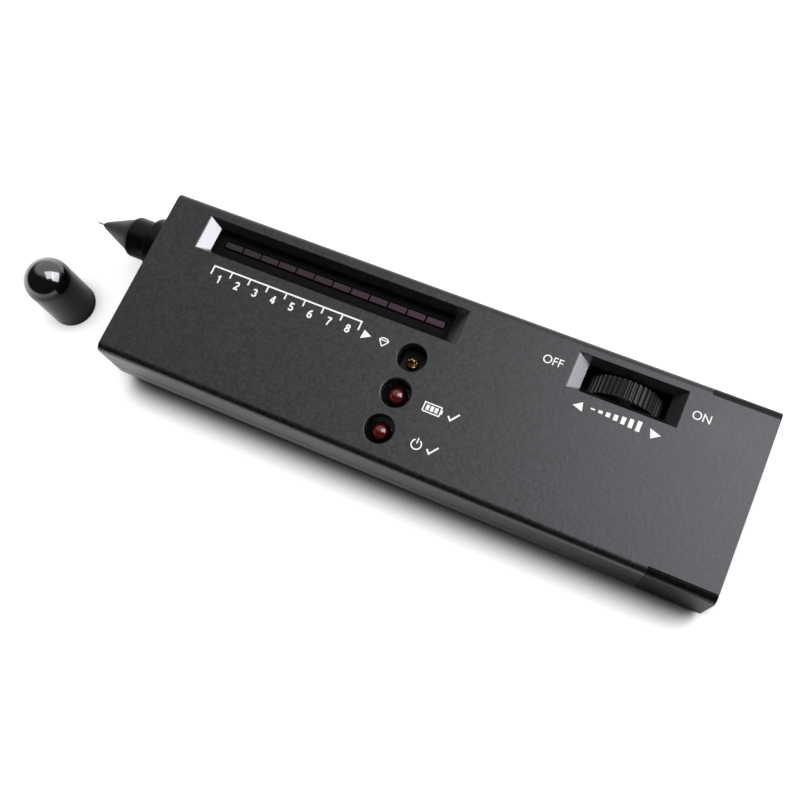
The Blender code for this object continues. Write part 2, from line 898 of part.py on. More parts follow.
def make_transistor():
    x, y = board_end_x - transistor_rear_inset, board_half_width * (transistor_y_share * 2 - 1)
    body = rod(
        'transistor', (x, y, part_z), (x, y, part_z + transistor_height), transistor_radius, small_steps,
    )
    flat = block(
        'flat', (x + transistor_radius * transistor_flat_share, y - transistor_radius * 2, part_z - overrun),
        (x + transistor_radius * 2, y + transistor_radius * 2, part_z + transistor_height + overrun),
    )
    return finish(cut(body, flat), (0.02, 0.02, 0.02), 0.45)


def make_buzzer():
    x, y = board_end_x - buzzer_rear_inset, board_half_width * (buzzer_y_share * 2 - 1)
    profile = [
        (0, 0), (0, buzzer_radius), (buzzer_height - buzzer_edge, buzzer_radius),
        (buzzer_height, buzzer_radius - buzzer_edge), (buzzer_height, buzzer_hole_radius),
        (buzzer_height - buzzer_hole_depth, buzzer_hole_radius), (buzzer_height - buzzer_hole_depth, 0),
    ]
    buzzer = turned('buzzer', profile, (x, y, part_z), (0, 0, 1), round_steps)
    return finish(buzzer, (0.015, 0.015, 0.015), 0.5)


# Thumbwheel and potentiometer

def make_volume_wheel():
    def ring(y):
        points = []
        for index in range(wheel_rib_count):
            centre = math.tau * index / wheel_rib_count
            half_root = math.pi / wheel_rib_count * (1 - wheel_root_share / 2)
            half_top = math.pi / wheel_rib_count * wheel_rib_share
            for turn, reach in (
                (centre - half_root, wheel_radius - wheel_rib_depth), (centre - half_top, wheel_radius),
                (centre + half_top, wheel_radius), (centre + half_root, wheel_radius - wheel_rib_depth),
            ):
                points.append((wheel_x + reach * math.cos(turn), y, wheel_z + reach * math.sin(turn)))
        return points
    wheel = lofted('volume_wheel', [ring(wheel_near_y), ring(wheel_far_y)])
    bore = rod(
        'bore', (wheel_x, wheel_near_y - overrun, wheel_z), (wheel_x, wheel_far_y + overrun, wheel_z),
        shaft_radius + seat_gap, round_steps,
    )
    cut(wheel, bore)
    set_origin(wheel, (wheel_x, wheel_mid_y, wheel_z))
    return finish(wheel, (0.025, 0.025, 0.027), 0.4)


def make_wheel_shaft():
    start_y = pot_face_y - shaft_depth + seat_gap
    shoulder_start = pot_face_y + seat_gap - start_y
    shoulder_end = wheel_near_y - seat_gap - start_y
    end = wheel_far_y - start_y
    bore = wheel_screw_radius + seat_gap
    bore_end = end - wheel_screw_length + wheel_screw_head_height - seat_gap
    profile = [
        (0, 0), (0, shaft_radius), (shoulder_start, shaft_radius), (shoulder_start, shaft_shoulder_radius),
        (shoulder_end, shaft_shoulder_radius), (shoulder_end, shaft_radius), (end, shaft_radius),
        (end, bore), (bore_end, bore), (bore_end, 0),
    ]
    shaft = turned('wheel_shaft', profile, (wheel_x, start_y, wheel_z), (0, 1, 0), round_steps)
    return finish(shaft, (0.6, 0.6, 0.62), 0.3, 1)


def make_wheel_screw():
    head_y = wheel_far_y + seat_gap + wheel_screw_head_height
    profile = [
        (0, 0), (0, wheel_screw_head_radius), (wheel_screw_head_height, wheel_screw_head_radius),
        (wheel_screw_head_height, wheel_screw_radius), (wheel_screw_length, wheel_screw_radius),
        (wheel_screw_length, 0),
    ]
    piece = turned('wheel_screw', profile, (wheel_x, head_y, wheel_z), (0, -1, 0), round_steps)
    slit = block(
        'slit', (wheel_x - wheel_screw_head_radius * 2, head_y - wheel_screw_head_height / 2, wheel_z - cross_width / 2),
        (wheel_x + wheel_screw_head_radius * 2, head_y + overrun, wheel_z + cross_width / 2),
    )
    return finish(cut(piece, slit), (0.55, 0.55, 0.56), 0.35, 1)


def make_volume_pot():
    rear_y = pot_face_y - pot_depth
    pot = rod('volume_pot', (wheel_x, rear_y, wheel_z), (wheel_x, pot_face_y, wheel_z), pot_radius, round_steps)
    foot = block(
        'foot', (wheel_x - pot_foot_width / 2, rear_y + seat_gap, wall + seat_gap),
        (wheel_x + pot_foot_width / 2, pot_face_y - seat_gap, wheel_z),
    )
    fuse(pot, foot)
    bore = rod(
        'bore', (wheel_x, pot_face_y - shaft_depth, wheel_z), (wheel_x, pot_face_y + overrun, wheel_z),
        shaft_radius + seat_gap, round_steps,
    )
    return finish(cut(pot, bore), (0.03, 0.03, 0.032), 0.45)


def make_pot_terminals():
    # A thin strip against the potentiometer, with its lugs resting on the board's arm.
    end_x = wheel_x - pot_radius - seat_gap
    mid_y = pot_face_y - pot_depth / 2
    half_strip = (lug_pitch * (lug_count - 1) + lug_width) / 2 + lug_thickness
    strip = block(
        'pot_terminals', (end_x - lug_thickness, mid_y - half_strip, part_z + lug_thickness / 2),
        (end_x, mid_y + half_strip, wheel_z + lug_width),
    )
    lugs = []
    for index in range(lug_count):
        y = mid_y + lug_pitch * (index - (lug_count - 1) / 2)
        lugs.append(block(
            'lug', (board_arm_end_x - lug_landing, y - lug_width / 2, part_z),
            (end_x - lug_thickness / 2, y + lug_width / 2, part_z + lug_thickness),
        ))
    return finish(fuse(strip, *lugs), (0.7, 0.7, 0.68), 0.35, 1)


# Battery

def make_battery():
    mesh = cuboid(
        (battery_start_x, battery_near_y, battery_low_z),
        (battery_end_x, battery_far_y, battery_low_z + battery_thickness),
    )
    round_edges(mesh, lambda edge: runs_along(edge, 0), bottom_edge_radius - wall - seat_gap)
    return finish(place('battery', mesh), (0.08, 0.08, 0.085), 0.3)


def stud(name, base_x, y, direction):
    length = contact_space - seat_gap * 3 - contact_floor
    return rod(name, (base_x, y, battery_mid_z), (base_x + direction * length, y, battery_mid_z),
               stud_radius, round_steps)


def socket(name, base_x, y, direction):
    bore = stud_radius + seat_gap
    outer = bore + socket_wall
    length = contact_space - seat_gap * 3
    profile = [(0, 0), (0, outer), (length, outer), (length, bore), (contact_floor, bore), (contact_floor, 0)]
    return turned(name, profile, (base_x, y, battery_mid_z), (direction, 0, 0), round_steps)


def make_contacts():
    low_y = battery_mid_y - contact_spacing / 2
    high_y = battery_mid_y + contact_spacing / 2
    battery_side_x = battery_start_x - seat_gap
    snap_side_x = snap_face_x + seat_gap
    metal = (0.7, 0.7, 0.7)
    finish(stud('battery_stud', battery_side_x, low_y, -1), metal, 0.3, 1)
    finish(socket('battery_socket', battery_side_x, high_y, -1), metal, 0.3, 1)
    finish(socket('snap_socket', snap_side_x, low_y, 1), metal, 0.3, 1)
    finish(stud('snap_stud', snap_side_x, high_y, 1), metal, 0.3, 1)


def make_battery_snap():
    mesh = cuboid(
        (snap_face_x - snap_thickness, battery_near_y + snap_side_space, battery_mid_z - snap_height / 2),
        (snap_face_x, battery_far_y - snap_side_space, battery_mid_z + snap_height / 2),
    )
    round_edges(mesh, lambda edge: runs_along(edge, 0), snap_edge_radius)
    return finish(place('battery_snap', mesh), (0.02, 0.02, 0.02), 0.5)


def make_battery_leads():
    start_x = snap_face_x - snap_thickness / 2
    start_y = battery_far_y - snap_side_space + seat_gap
    end_z = part_z + power_lead_diameter / 2
    for name, start_z, inset, reach, colour in (
        ('battery_lead_red', battery_mid_z + power_lead_diameter, power_lead_diameter * 4.4,
         power_lead_diameter * 3, (0.5, 0.02, 0.02)),
        ('battery_lead_black', battery_mid_z + power_lead_diameter * 4, power_lead_diameter * 1.4,
         power_lead_diameter * 6, (0.01, 0.01, 0.01)),
    ):
        end_x = board_arm_end_x - inset
        end_y = battery_far_y + board_arm_space + reach
        route = [
            (start_x, start_y, start_z),
            (start_x, start_y + power_lead_diameter, start_z + power_lead_diameter / 2),
            ((start_x + end_x) / 2, (start_y + end_y) / 2 + power_lead_diameter / 2,
             start_z + power_lead_diameter),
            (end_x, end_y, (start_z + end_z) / 2 + power_lead_diameter / 2),
            (end_x, end_y, end_z),
        ]
        points = spaced(smooth_route(route), power_lead_diameter * 1.5)
        finish(wire(name, points, power_lead_diameter / 2, 2), colour, 0.5)


# Probe, its axis running from the nose wall towards -X

def probe_point(along, side_y=0, side_z=0):
    return Vector((nose_x - along, probe_y + side_y, probe_z + side_z))


def probe_turned(name, profile, steps):
    return turned(name, profile, probe_point(0), (-1, 0, 0), steps)


def make_probe_barrel():
    inner_end = -(wall + seat_gap)
    inner_start = inner_end - inner_flange_length
    quarter = math.pi / 2
    flange_round = arc(flange_length - flange_edge, flange_radius - flange_edge, flange_edge,
                       0, quarter, edge_steps - 2)
    collar_round = arc(barrel_front - collar_edge, collar_radius - collar_edge, collar_edge,
                       0, quarter, edge_steps)
    profile = [
        (barrel_rear, barrel_bore_radius), (barrel_rear, neck_radius), (inner_start, neck_radius),
        (inner_start, inner_flange_radius), (inner_end, inner_flange_radius), (inner_end, neck_radius),
        (seat_gap, neck_radius), (seat_gap, flange_radius),
        *flange_round, (flange_length, collar_radius), *collar_round, (barrel_front, barrel_bore_radius),
    ]
    return finish(probe_turned('probe_barrel', profile, fine_steps), (0.012, 0.012, 0.013), 0.35)


def make_probe_cone():
    bore = shank_radius + seat_gap
    profile = [
        (spigot_rear, bore), (spigot_rear, barrel_bore_radius - seat_gap),
        (cone_base, barrel_bore_radius - seat_gap), (cone_base, cone_base_radius),
        (cone_tip, cone_tip_radius), (cone_tip, cone_bore_radius), (cone_step, cone_bore_radius), (cone_step, bore),
    ]
    return finish(probe_turned('probe_cone', profile, fine_steps), (0.12, 0.12, 0.12), 0.4)


def make_tip_ring():
    start = cone_tip + tip_ring_reach - tip_ring_length
    end = cone_tip + tip_ring_reach
    profile = [
        (start, tip_ring_bore_radius), (start, tip_ring_radius), (end, tip_ring_radius), (end, tip_ring_bore_radius),
    ]
    return finish(probe_turned('tip_ring', profile, round_steps), (0.03, 0.03, 0.03), 0.4)


def make_probe_pin():
    tip = cone_tip + tip_ring_reach + needle_reach
    profile = [
        (pin_seat_rear, 0), (pin_seat_rear, pin_seat_radius), (pin_seat_front, pin_seat_radius),
        (pin_seat_front, shank_radius), (cone_step - shank_radius, shank_radius),
        (cone_step, needle_radius), (tip - needle_point, needle_radius), (tip, 0),
    ]
    pin = probe_turned('probe_pin', profile, small_steps)
    set_origin(pin, probe_point(pin_seat_rear))
    return finish(pin, (0.6, 0.5, 0.42), 0.3, 1)


def make_probe_heater():
    start = pin_seat_rear - seat_gap - heater_length
    profile = [
        (start, 0), (start, heater_radius), (start + heater_length, heater_radius), (start + heater_length, 0),
    ]
    return finish(probe_turned('probe_heater', profile, small_steps), (0.5, 0.42, 0.32), 0.5)


def make_probe_spring():
    start = plug_front + seat_gap + spring_wire_radius
    end = pin_seat_rear - seat_gap - spring_wire_radius
    count = spring_coils * spring_points_a_coil
    points = []
    for index in range(count + 1):
        turn = math.tau * index / spring_points_a_coil
        along = start + (end - start) * index / count
        points.append(probe_point(along, spring_radius * math.cos(turn), spring_radius * math.sin(turn)))
    apart = [
        (points[index] - points[index + spring_points_a_coil]).length
        for index in range(count - spring_points_a_coil)
    ]
    print('probe spring, least gap between coils in mm:', round((min(apart) - spring_wire_radius * 2) * 1000, 2))
    return finish(wire('probe_spring', points, spring_wire_radius, 1), (0.6, 0.6, 0.6), 0.3, 1)


def make_probe_plug():
    radius = barrel_bore_radius - seat_gap
    profile = [(barrel_rear, 0), (barrel_rear, radius), (plug_front, radius), (plug_front, 0)]
    return finish(probe_turned('probe_plug', profile, round_steps), (0.4, 0.38, 0.33), 0.6)


def make_probe_leads():
    start_along = barrel_rear - seat_gap
    radius = probe_lead_diameter / 2
    end_z = part_z + radius
    for name, side, colour in (
        ('probe_lead_white', -1, (0.6, 0.6, 0.58)), ('probe_lead_blue', 0, (0.03, 0.08, 0.3)),
    ):
        start = probe_point(start_along, probe_lead_spacing * side)
        end_x = board_start_x + probe_lead_diameter * 3
        end_y = start.y - probe_lead_spacing / 2
        over_z = max(start.z, end_z) + probe_lead_diameter * 2
        route = [
            start,
            start + Vector((probe_lead_diameter, 0, 0)),
            Vector((board_start_x - probe_lead_diameter, (start.y + end_y) / 2, (start.z + over_z) / 2)),
            Vector((board_start_x + probe_lead_diameter, end_y, over_z)),
            Vector((end_x, end_y, end_z)),
        ]
        points = spaced(smooth_route(route), probe_lead_diameter * 1.5)
        finish(wire(name, points, radius, 2), colour, 0.5)


def make_probe_cap():
    quarter = math.pi / 2
    dome_z = cap_height - cap_radius
    bore = cap_radius - cap_wall
    outer = arc(dome_z, 0, cap_radius, 0, quarter, cap_dome_steps)[:-1]
    inner = arc(dome_z, 0, bore, quarter, 0, cap_dome_steps)[1:]
    profile = [
        (cap_rim_edge, cap_radius), *outer, (cap_height, 0),
        (dome_z + bore, 0), *inner, (cap_rim_edge, bore), (0, bore + cap_rim_edge), (0, cap_radius - cap_rim_edge),
    ]
    cap = turned('probe_cap', profile, (cap_x, cap_y, 0), (0, 0, 1), fine_steps)
    set_origin(cap, (cap_x, cap_y, 0))
    return finish(cap, (0.012, 0.012, 0.013), 0.25)


# Building the tester

for old_object in list(bpy.data.objects):
    bpy.data.objects.remove(old_object)

make_top_cover()
make_bottom_cover()
make_battery_cover()
make_case_screws()
make_contact_plate()
make_circuit_board()
make_bar_leds()
make_bar_led_holder()
make_lamp('battery_lamp', hole_ys[1])
make_lamp('ready_lamp', hole_ys[2])
make_trimmer()
make_chips()
make_resistors()
make_capacitors()
make_transistor()
make_buzzer()
make_volume_wheel()
make_wheel_shaft()
make_wheel_screw()
make_volume_pot()
make_pot_terminals()
make_battery()
make_contacts()
make_battery_snap()
make_battery_leads()
make_probe_barrel()
make_probe_cone()
make_tip_ring()
make_probe_pin()
make_probe_heater()
make_probe_spring()
make_probe_plug()
make_probe_leads()
make_probe_cap()
print('tester built')
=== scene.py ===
import json
import math
import bmesh
import bpy
from mathutils import Matrix, Vector

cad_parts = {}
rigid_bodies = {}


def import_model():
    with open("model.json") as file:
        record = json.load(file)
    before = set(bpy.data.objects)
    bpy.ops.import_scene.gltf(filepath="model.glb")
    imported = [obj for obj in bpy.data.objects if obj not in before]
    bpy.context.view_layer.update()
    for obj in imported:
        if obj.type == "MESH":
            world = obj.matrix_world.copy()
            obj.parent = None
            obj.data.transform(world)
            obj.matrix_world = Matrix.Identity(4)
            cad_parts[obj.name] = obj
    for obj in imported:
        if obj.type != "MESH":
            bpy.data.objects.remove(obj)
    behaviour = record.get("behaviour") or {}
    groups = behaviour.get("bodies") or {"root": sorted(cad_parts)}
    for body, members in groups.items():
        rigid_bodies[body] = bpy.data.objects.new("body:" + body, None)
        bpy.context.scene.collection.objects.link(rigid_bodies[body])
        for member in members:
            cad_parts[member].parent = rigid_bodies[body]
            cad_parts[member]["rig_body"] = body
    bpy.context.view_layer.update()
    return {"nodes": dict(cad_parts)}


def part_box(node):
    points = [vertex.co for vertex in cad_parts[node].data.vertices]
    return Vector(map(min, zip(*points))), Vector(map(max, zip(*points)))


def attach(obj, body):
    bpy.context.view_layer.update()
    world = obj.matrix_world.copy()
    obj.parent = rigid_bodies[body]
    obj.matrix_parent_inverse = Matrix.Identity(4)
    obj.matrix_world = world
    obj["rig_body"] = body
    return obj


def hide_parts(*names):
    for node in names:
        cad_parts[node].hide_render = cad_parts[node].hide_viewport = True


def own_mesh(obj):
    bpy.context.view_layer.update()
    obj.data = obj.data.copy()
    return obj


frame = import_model()
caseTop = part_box("top_cover")[1].z                              # height of the flat top face
print("frame loaded:", len(frame["nodes"]), "solids")


# one socket as a value in a Python expression
class Wire:
    def __init__(self, finish, socket):
        self.finish = finish
        self.socket = socket

    def maths(self, operation, first, second):
        return self.finish.node("ShaderNodeMath", {"operation": operation}, {0: first, 1: second})

    def __add__(self, other):
        return self.maths("ADD", self, other)

    def __radd__(self, other):
        return self.maths("ADD", other, self)

    def __sub__(self, other):
        return self.maths("SUBTRACT", self, other)

    def __rsub__(self, other):
        return self.maths("SUBTRACT", other, self)

    def __mul__(self, other):
        return self.maths("MULTIPLY", self, other)

    def __rmul__(self, other):
        return self.maths("MULTIPLY", other, self)

    def __gt__(self, other):
        return self.maths("GREATER_THAN", self, other)

    def __lt__(self, other):
        return self.maths("LESS_THAN", self, other)


# a node tree that starts empty and is filled from one method
class Wiring:
    def __init__(self, tree):
        self.tree = tree
        self.tree.nodes.clear()

    def node(self, kind, settings=None, inputs=None, output=0):
        made = self.tree.nodes.new(kind)
        for key, value in (settings or {}).items():
            if key == "stops":
                stops = made.color_ramp.elements
                while len(stops) < len(value):
                    stops.new(1)
                for stop, (at, colour) in zip(stops, value):
                    stop.position = at
                    stop.color = (*colour, 1)
            else:
                setattr(made, key, value)
        for key, value in (inputs or {}).items():
            self.plug(made.inputs[key], value)
        return Wire(self, made.outputs[output] if output is not None else None)

    def plug(self, socket, value):
        if isinstance(value, Wire):
            self.tree.links.new(value.socket, socket)
        elif isinstance(value, (tuple, list)) and len(value) == 3 and len(socket.default_value) == 4:
            socket.default_value = (*value, 1)
        else:
            socket.default_value = value

    def spread(self, value, low, high, start=0.0, end=1.0):
        return self.node("ShaderNodeMapRange", {}, {0: value, 1: low, 2: high, 3: start, 4: end})

    def mixed(self, factor, first, second):
        return self.node("ShaderNodeMix", {"data_type": "RGBA"}, {0: factor, 6: first, 7: second}, 2)

    def larger(self, first, second):
        return self.node("ShaderNodeMath", {"operation": "MAXIMUM"}, {0: first, 1: second})

    def share(self, vector, axis):                              # one of a vector's three numbers
        return self.node("ShaderNodeSeparateXYZ", {}, {0: vector}, "XYZ".index(axis))

    def ray(self, kind):                                        # 1 for a ray of this kind, else 0
        return self.node("ShaderNodeLightPath", output=f"Is {kind} Ray")


class Finish(Wiring):
    def __init__(self, name, **sockets):
        self.material = bpy.data.materials.new(name)
        self.material.use_nodes = True
        super().__init__(self.material.node_tree)
        self.surface = self.node("ShaderNodeBsdfPrincipled")
        for key, value in sockets.items():                      # fixed values sit on the shader's own sockets
            self.feed(key, value)
        self.ending = self.tree.nodes.new("ShaderNodeOutputMaterial")
        self.tree.links.new(self.surface.socket, self.ending.inputs[0])
        self.place = self.node("ShaderNodeTexCoord", output="Object")
        self.tree.nodes.active = self.surface.socket.node

    def feed(self, key, value):
        self.plug(self.surface.socket.node.inputs[key.replace("_", " ")], value)

    def along(self, axis):
        return self.share(self.place, axis)

    def stretched(self, x, y, z):
        return self.node("ShaderNodeVectorMath", {"operation": "MULTIPLY"}, {0: self.place, 1: (x, y, z)})

    def noise(self, size, detail=2.0, rough=0.5, place=None):   # size of one blot in metres
        return self.node("ShaderNodeTexNoise", {}, {
            "Vector": place or self.place, "Scale": 1 / size, "Detail": detail, "Roughness": rough})

    def cells(self, size, feature, place):                      # size of one cell in metres
        return self.node("ShaderNodeTexVoronoi", {"feature": feature}, {"Vector": place, "Scale": 1 / size})

    def ramp(self, value, stops):
        return self.node("ShaderNodeValToRGB", {"stops": stops}, {0: value})

    def bump(self, height, depth, under=None):
        inputs = {"Height": height, "Distance": depth, "Strength": 1.0}
        if under is not None:
            inputs["Normal"] = under
        return self.node("ShaderNodeBump", {}, inputs)

    def rounded(self, radius):                                  # small mould radius on every sharp edge
        return self.node("ShaderNodeBevel", {"samples": 4}, {"Radius": radius})


def linear(part):
    return part / 12.92 if part <= 0.04045 else ((part + 0.055) / 1.055) ** 2.4


def srgb(red, green, blue):
    return tuple(linear(c) for c in (red / 255, green / 255, blue / 255))


def toMesh(name, bm):
    mesh = bpy.data.meshes.new(name)
    bm.normal_update()
    bm.to_mesh(mesh)
    bm.free()
    return mesh


# each piece is a mesh that rides on a body of the frame, and edges over the sharp angle stay sharp
def addPiece(name, mesh, body, finish, sharp, nodes=()):
    bm = bmesh.new()
    bm.from_mesh(mesh)
    for face in bm.faces:
        face.smooth = True
    for edge in bm.edges:
        edge.smooth = len(edge.link_faces) == 2 and edge.calc_face_angle() < math.radians(sharp)
    bm.to_mesh(mesh)
    bm.free()
    mesh.materials.clear()
    mesh.materials.append(finish)
    piece = bpy.data.objects.new(name, mesh)
    bpy.context.scene.collection.objects.link(piece)
    even = piece.modifiers.new("evenShade", "WEIGHTED_NORMAL")  # flat faces stay flat beside rounded ones
    even.keep_sharp = True
    even.weight = 100
    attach(piece, body)
    if nodes:
        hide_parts(*nodes)


# black ABS of the case: dark blots under paler specks, shinier on the plain walls than on the show face
# a noise is given as its blot size in metres, its detail and its roughness
caseLook = {
    "deep": srgb(4, 4, 6), "pale": srgb(34, 34, 37), "gloss": 0.5, "rough": 0.41, "wallRough": 0.3,
    "clouds": (0.011, 3, 0.6), "cloudFrom": 0.75, "cloudGain": 0.5,
    "grain": (0.0008, 2, 0.55), "specks": (0.32, 0.68), "wallSpecks": 0.35, "grainRough": 0.16,
    "pitSize": 0.00096, "pitShare": 0.3, "wallDepth": 0.25, "grainDepth": 0.00004,
    "rubs": (0.02, 4, 0.7), "rubbed": (0.55, 0.75), "rubShine": 0.04,
    "faceFrom": 0.00025, "faceFull": 0.00005,                   # the show face's finish starts this far under it
    "edge": 0.00015, "shiftY": 0.7,
}
endCapLook = dict(caseLook, deep=srgb(4, 4, 5), pale=srgb(17, 17, 18), gloss=0.18,
                  rough=0.36, wallRough=0.34, grainDepth=0.000012)

# walls of the openings that come polished from the mould, each as x from and to, y from and to
polishLook = {
    "coatIor": 2.0, "coatRough": 0.22, "above": 0.015,
    "walls": (
        (-0.0674, -0.0643, 0.0100, 0.0200),                     # window, nose end
        (0.0007, 0.0038, 0.0100, 0.0200),                       # window, tail end
        (0.0312, 0.0343, 0.0100, 0.0200),                       # wheel slot, nose end
        (-0.0081, -0.0007, -0.0188, 0.0075),                    # the three round holes
    ),
}


def caseFinish(name, look, faceHeight, shift):
    f = Finish(name, Specular_IOR_Level=look["gloss"],
               Coat_IOR=polishLook["coatIor"], Coat_Roughness=polishLook["coatRough"])
    by = (shift, shift * look["shiftY"], 0)                     # no two shells have the same blots
    shifted = f.node("ShaderNodeVectorMath", {"operation": "ADD"}, {0: f.place, 1: by})
    onFace = f.spread(f.along("Z"), faceHeight - look["faceFrom"], faceHeight - look["faceFull"])
    clouds = f.noise(*look["clouds"], shifted)
    grain = f.noise(*look["grain"], shifted)
    pits = f.cells(look["pitSize"], "F1", shifted)
    rubbed = f.spread(f.noise(*look["rubs"], shifted), *look["rubbed"])
    speckled = look["wallSpecks"] + (1 - look["wallSpecks"]) * onFace
    mottle = f.spread(grain, *look["specks"]) * speckled * (look["cloudFrom"] + look["cloudGain"] * clouds)
    f.feed("Base Color", f.mixed(mottle, look["deep"], look["pale"]))
    rough = look["wallRough"] + (look["rough"] - look["wallRough"]) * onFace
    f.feed("Roughness", rough + (grain - 0.5) * look["grainRough"] - rubbed * look["rubShine"])
    x, y, polished = f.along("X"), f.along("Y"), 0
    for x0, x1, y0, y1 in polishLook["walls"]:
        polished = polished + (x > x0) * (x < x1) * (y > y0) * (y < y1)
    f.feed("Coat Weight", polished * (f.along("Z") > polishLook["above"]) * (1 - onFace))
    relief = grain * (1 - look["pitShare"]) + pits * look["pitShare"]
    height = relief * (look["wallDepth"] + (1 - look["wallDepth"]) * onFace)
    f.feed("Normal", f.bump(height, look["grainDepth"], f.rounded(look["edge"])))
    return f.material


plasticLooks = {
    "spacer":          {"colour": srgb(5, 5, 6), "rough": 0.75, "grain": 0.0004, "depth": 0.000006, "gloss": 0.12},
    "component_black": {"colour": srgb(14, 14, 15), "rough": 0.55, "grain": 0.0003, "depth": 0.000008, "gloss": 0.2},
    "wheel_plastic":   {"colour": srgb(21, 21, 22), "rough": 0.42, "grain": 0.0003, "depth": 0.000008, "gloss": 0.24},
    "probe_black":     {"colour": srgb(4, 4, 4), "rough": 0.34, "grain": 0.0005, "depth": 0.000003, "gloss": 0.16},
    "cone_plastic":    {"colour": srgb(40, 40, 40), "rough": 0.42, "grain": 0.0004, "depth": 0.000005, "gloss": 0.4},
    "ring_plastic":    {"colour": srgb(22, 22, 22), "rough": 0.35, "grain": 0.0003, "depth": 0.000004},
    "snap_plastic":    {"colour": srgb(24, 24, 26), "rough": 0.5, "grain": 0.0005, "depth": 0.000012},
    "cap_gloss":       {"colour": srgb(4, 4, 5), "rough": 0.14, "grain": 0.0016, "depth": 0.000014, "gloss": 0.2,
                        "dome": (0.0174, 0.0202)},
    "lead_red":        {"colour": srgb(165, 28, 24), "rough": 0.42, "grain": 0.0006, "depth": 0.000006},
    "lead_black":      {"colour": srgb(22, 22, 22), "rough": 0.42, "grain": 0.0006, "depth": 0.000006},
    "lead_white":      {"colour": srgb(222, 219, 208), "rough": 0.45, "grain": 0.0006, "depth": 0.000006},
    "lead_blue":       {"colour": srgb(40, 82, 160), "rough": 0.42, "grain": 0.0006, "depth": 0.000006},
    "ceramic":         {"colour": srgb(226, 220, 205), "rough": 0.6, "grain": 0.00025, "depth": 0.00001},
}
mouldedLook = {                                                 # what all the moulded plastics share
    "flow": (0.006, 3, 0.6), "flowed": (0.3, 0.7), "flowRough": 0.25, "darker": 0.88, "paler": 1.15, "palest": 0.9,
    "fine": (3, 0.6), "grainRough": 0.3, "edge": 0.0001, "gloss": 0.5, "coatIor": 2.0, "coatRough": 0.1,
}


def plasticFinish(slot):
    look, s = plasticLooks[slot], mouldedLook
    f = Finish(slot + "_finish", Specular_IOR_Level=look.get("gloss", s["gloss"]),
               Coat_IOR=s["coatIor"], Coat_Roughness=s["coatRough"])
    flow = f.noise(*s["flow"])
    grain = f.noise(look["grain"], *s["fine"])
    darker = tuple(c * s["darker"] for c in look["colour"])
    paler = tuple(min(c * s["paler"], s["palest"]) for c in look["colour"])
    f.feed("Base Color", f.mixed(f.spread(flow, *s["flowed"]), darker, paler))
    rough = look["rough"]
    f.feed("Roughness", rough + (grain - 0.5) * rough * s["grainRough"] + (flow - 0.5) * rough * s["flowRough"])
    if "dome" in look:                                          # the cap's dome is polished, its wall satin
        f.feed("Coat Weight", f.spread(f.along("Z"), *look["dome"]))
    f.feed("Normal", f.bump(grain, look["depth"], f.rounded(s["edge"])))
    return f.material


metalLooks = {                                                  # drawn lines run across the stretched axes
    "plate_metal":   {"colour": srgb(196, 194, 188), "rough": 0.32, "lines": (60, 1, 1)},
    "plain_steel":   {"colour": srgb(188, 190, 192), "rough": 0.28, "lines": (1, 1, 8)},
    "tinned_metal":  {"colour": srgb(205, 205, 200), "rough": 0.35, "lines": (1, 6, 1)},
    "copper_pin":    {"colour": srgb(214, 210, 205), "rough": 0.3, "lines": (1, 7, 7)},
}
bareMetalLook = {                                               # what all the bare metals share
    "lines": (0.0012, 4, 0.7), "lineRough": 0.22, "depth": 0.000006, "edge": 0.00008,
    "stains": (0.003, 4, 0.65), "stained": (0.42, 0.72), "stainShare": 0.6,
    "stainColour": 0.45, "stainRough": 0.12,
}


def metalFinish(slot):
    look, s = metalLooks[slot], bareMetalLook
    f = Finish(slot + "_finish", Metallic=1.0)
    lines = f.noise(*s["lines"], f.stretched(*look["lines"]))
    stain = f.spread(f.noise(*s["stains"]), *s["stained"])
    stained = tuple(c * s["stainColour"] for c in look["colour"])
    f.feed("Base Color", f.mixed(stain * s["stainShare"], look["colour"], stained))
    f.feed("Roughness", look["rough"] + (lines - 0.5) * s["lineRough"] + stain * s["stainRough"])
    f.feed("Normal", f.bump(lines, s["depth"], f.rounded(s["edge"])))
    return f.material


brassLook = {                                                   # tarnished brass darkened further with painted shade of its deep hole, with painted glints in bright blots
    # painted light: the dull colour is tarnish plus painted shade, the bright colour paints golden glints
    "dull": srgb(54, 33, 12), "bright": srgb(252, 214, 140), "wear": (0.0008, 2, 0.5), "worn": (0.57, 0.66),
    "lines": (0.0009, 4, 0.7), "rough": 0.3, "lineRough": 0.2, "glintShine": 0.12,
    "depth": 0.00001, "edge": 0.00012,
}


def brassFinish():
    look = brassLook
    f = Finish("brass_screw_finish", Metallic=1.0)
    lines = f.noise(*look["lines"])
    worn = f.spread(f.noise(*look["wear"]), *look["worn"])
    # bright blots of painted glints over the tarnish and its painted shade
    f.feed("Base Color", f.mixed(worn, look["dull"], look["bright"]))
    f.feed("Roughness", look["rough"] + (lines - 0.5) * look["lineRough"] - worn * look["glintShine"])
    f.feed("Normal", f.bump(lines, look["depth"], f.rounded(look["edge"])))
    return f.material


boardLook = {                                                   # green solder mask over tracks, with tinned pads, its greens darkened near black as painted shade of the holes above
    # the mask, track and weave colours hold painted shade, so the board looks dark down the holes
    "mask": srgb(6, 22, 14), "overTrack": srgb(10, 34, 20), "weaveColour": srgb(4, 14, 9),
    "tin": srgb(190, 188, 178),
    "weave": (0.0004, 2, 0.5), "weaveAcross": (1, 1, 0.05), "weaveShare": 0.3, "weaveHeight": 0.1,
    "trackSize": 0.0042, "trackEdge": (0.08, 0.1), "fields": (0.012, 1), "fieldFrom": 0.42,
    "padSize": 0.0051, "padReach": 0.13, "padMetal": 0.9, "gloss": 0.5, "rough": 0.3, "weaveRough": 0.15,
    "depth": 0.00002, "edge": 0.0001,
}


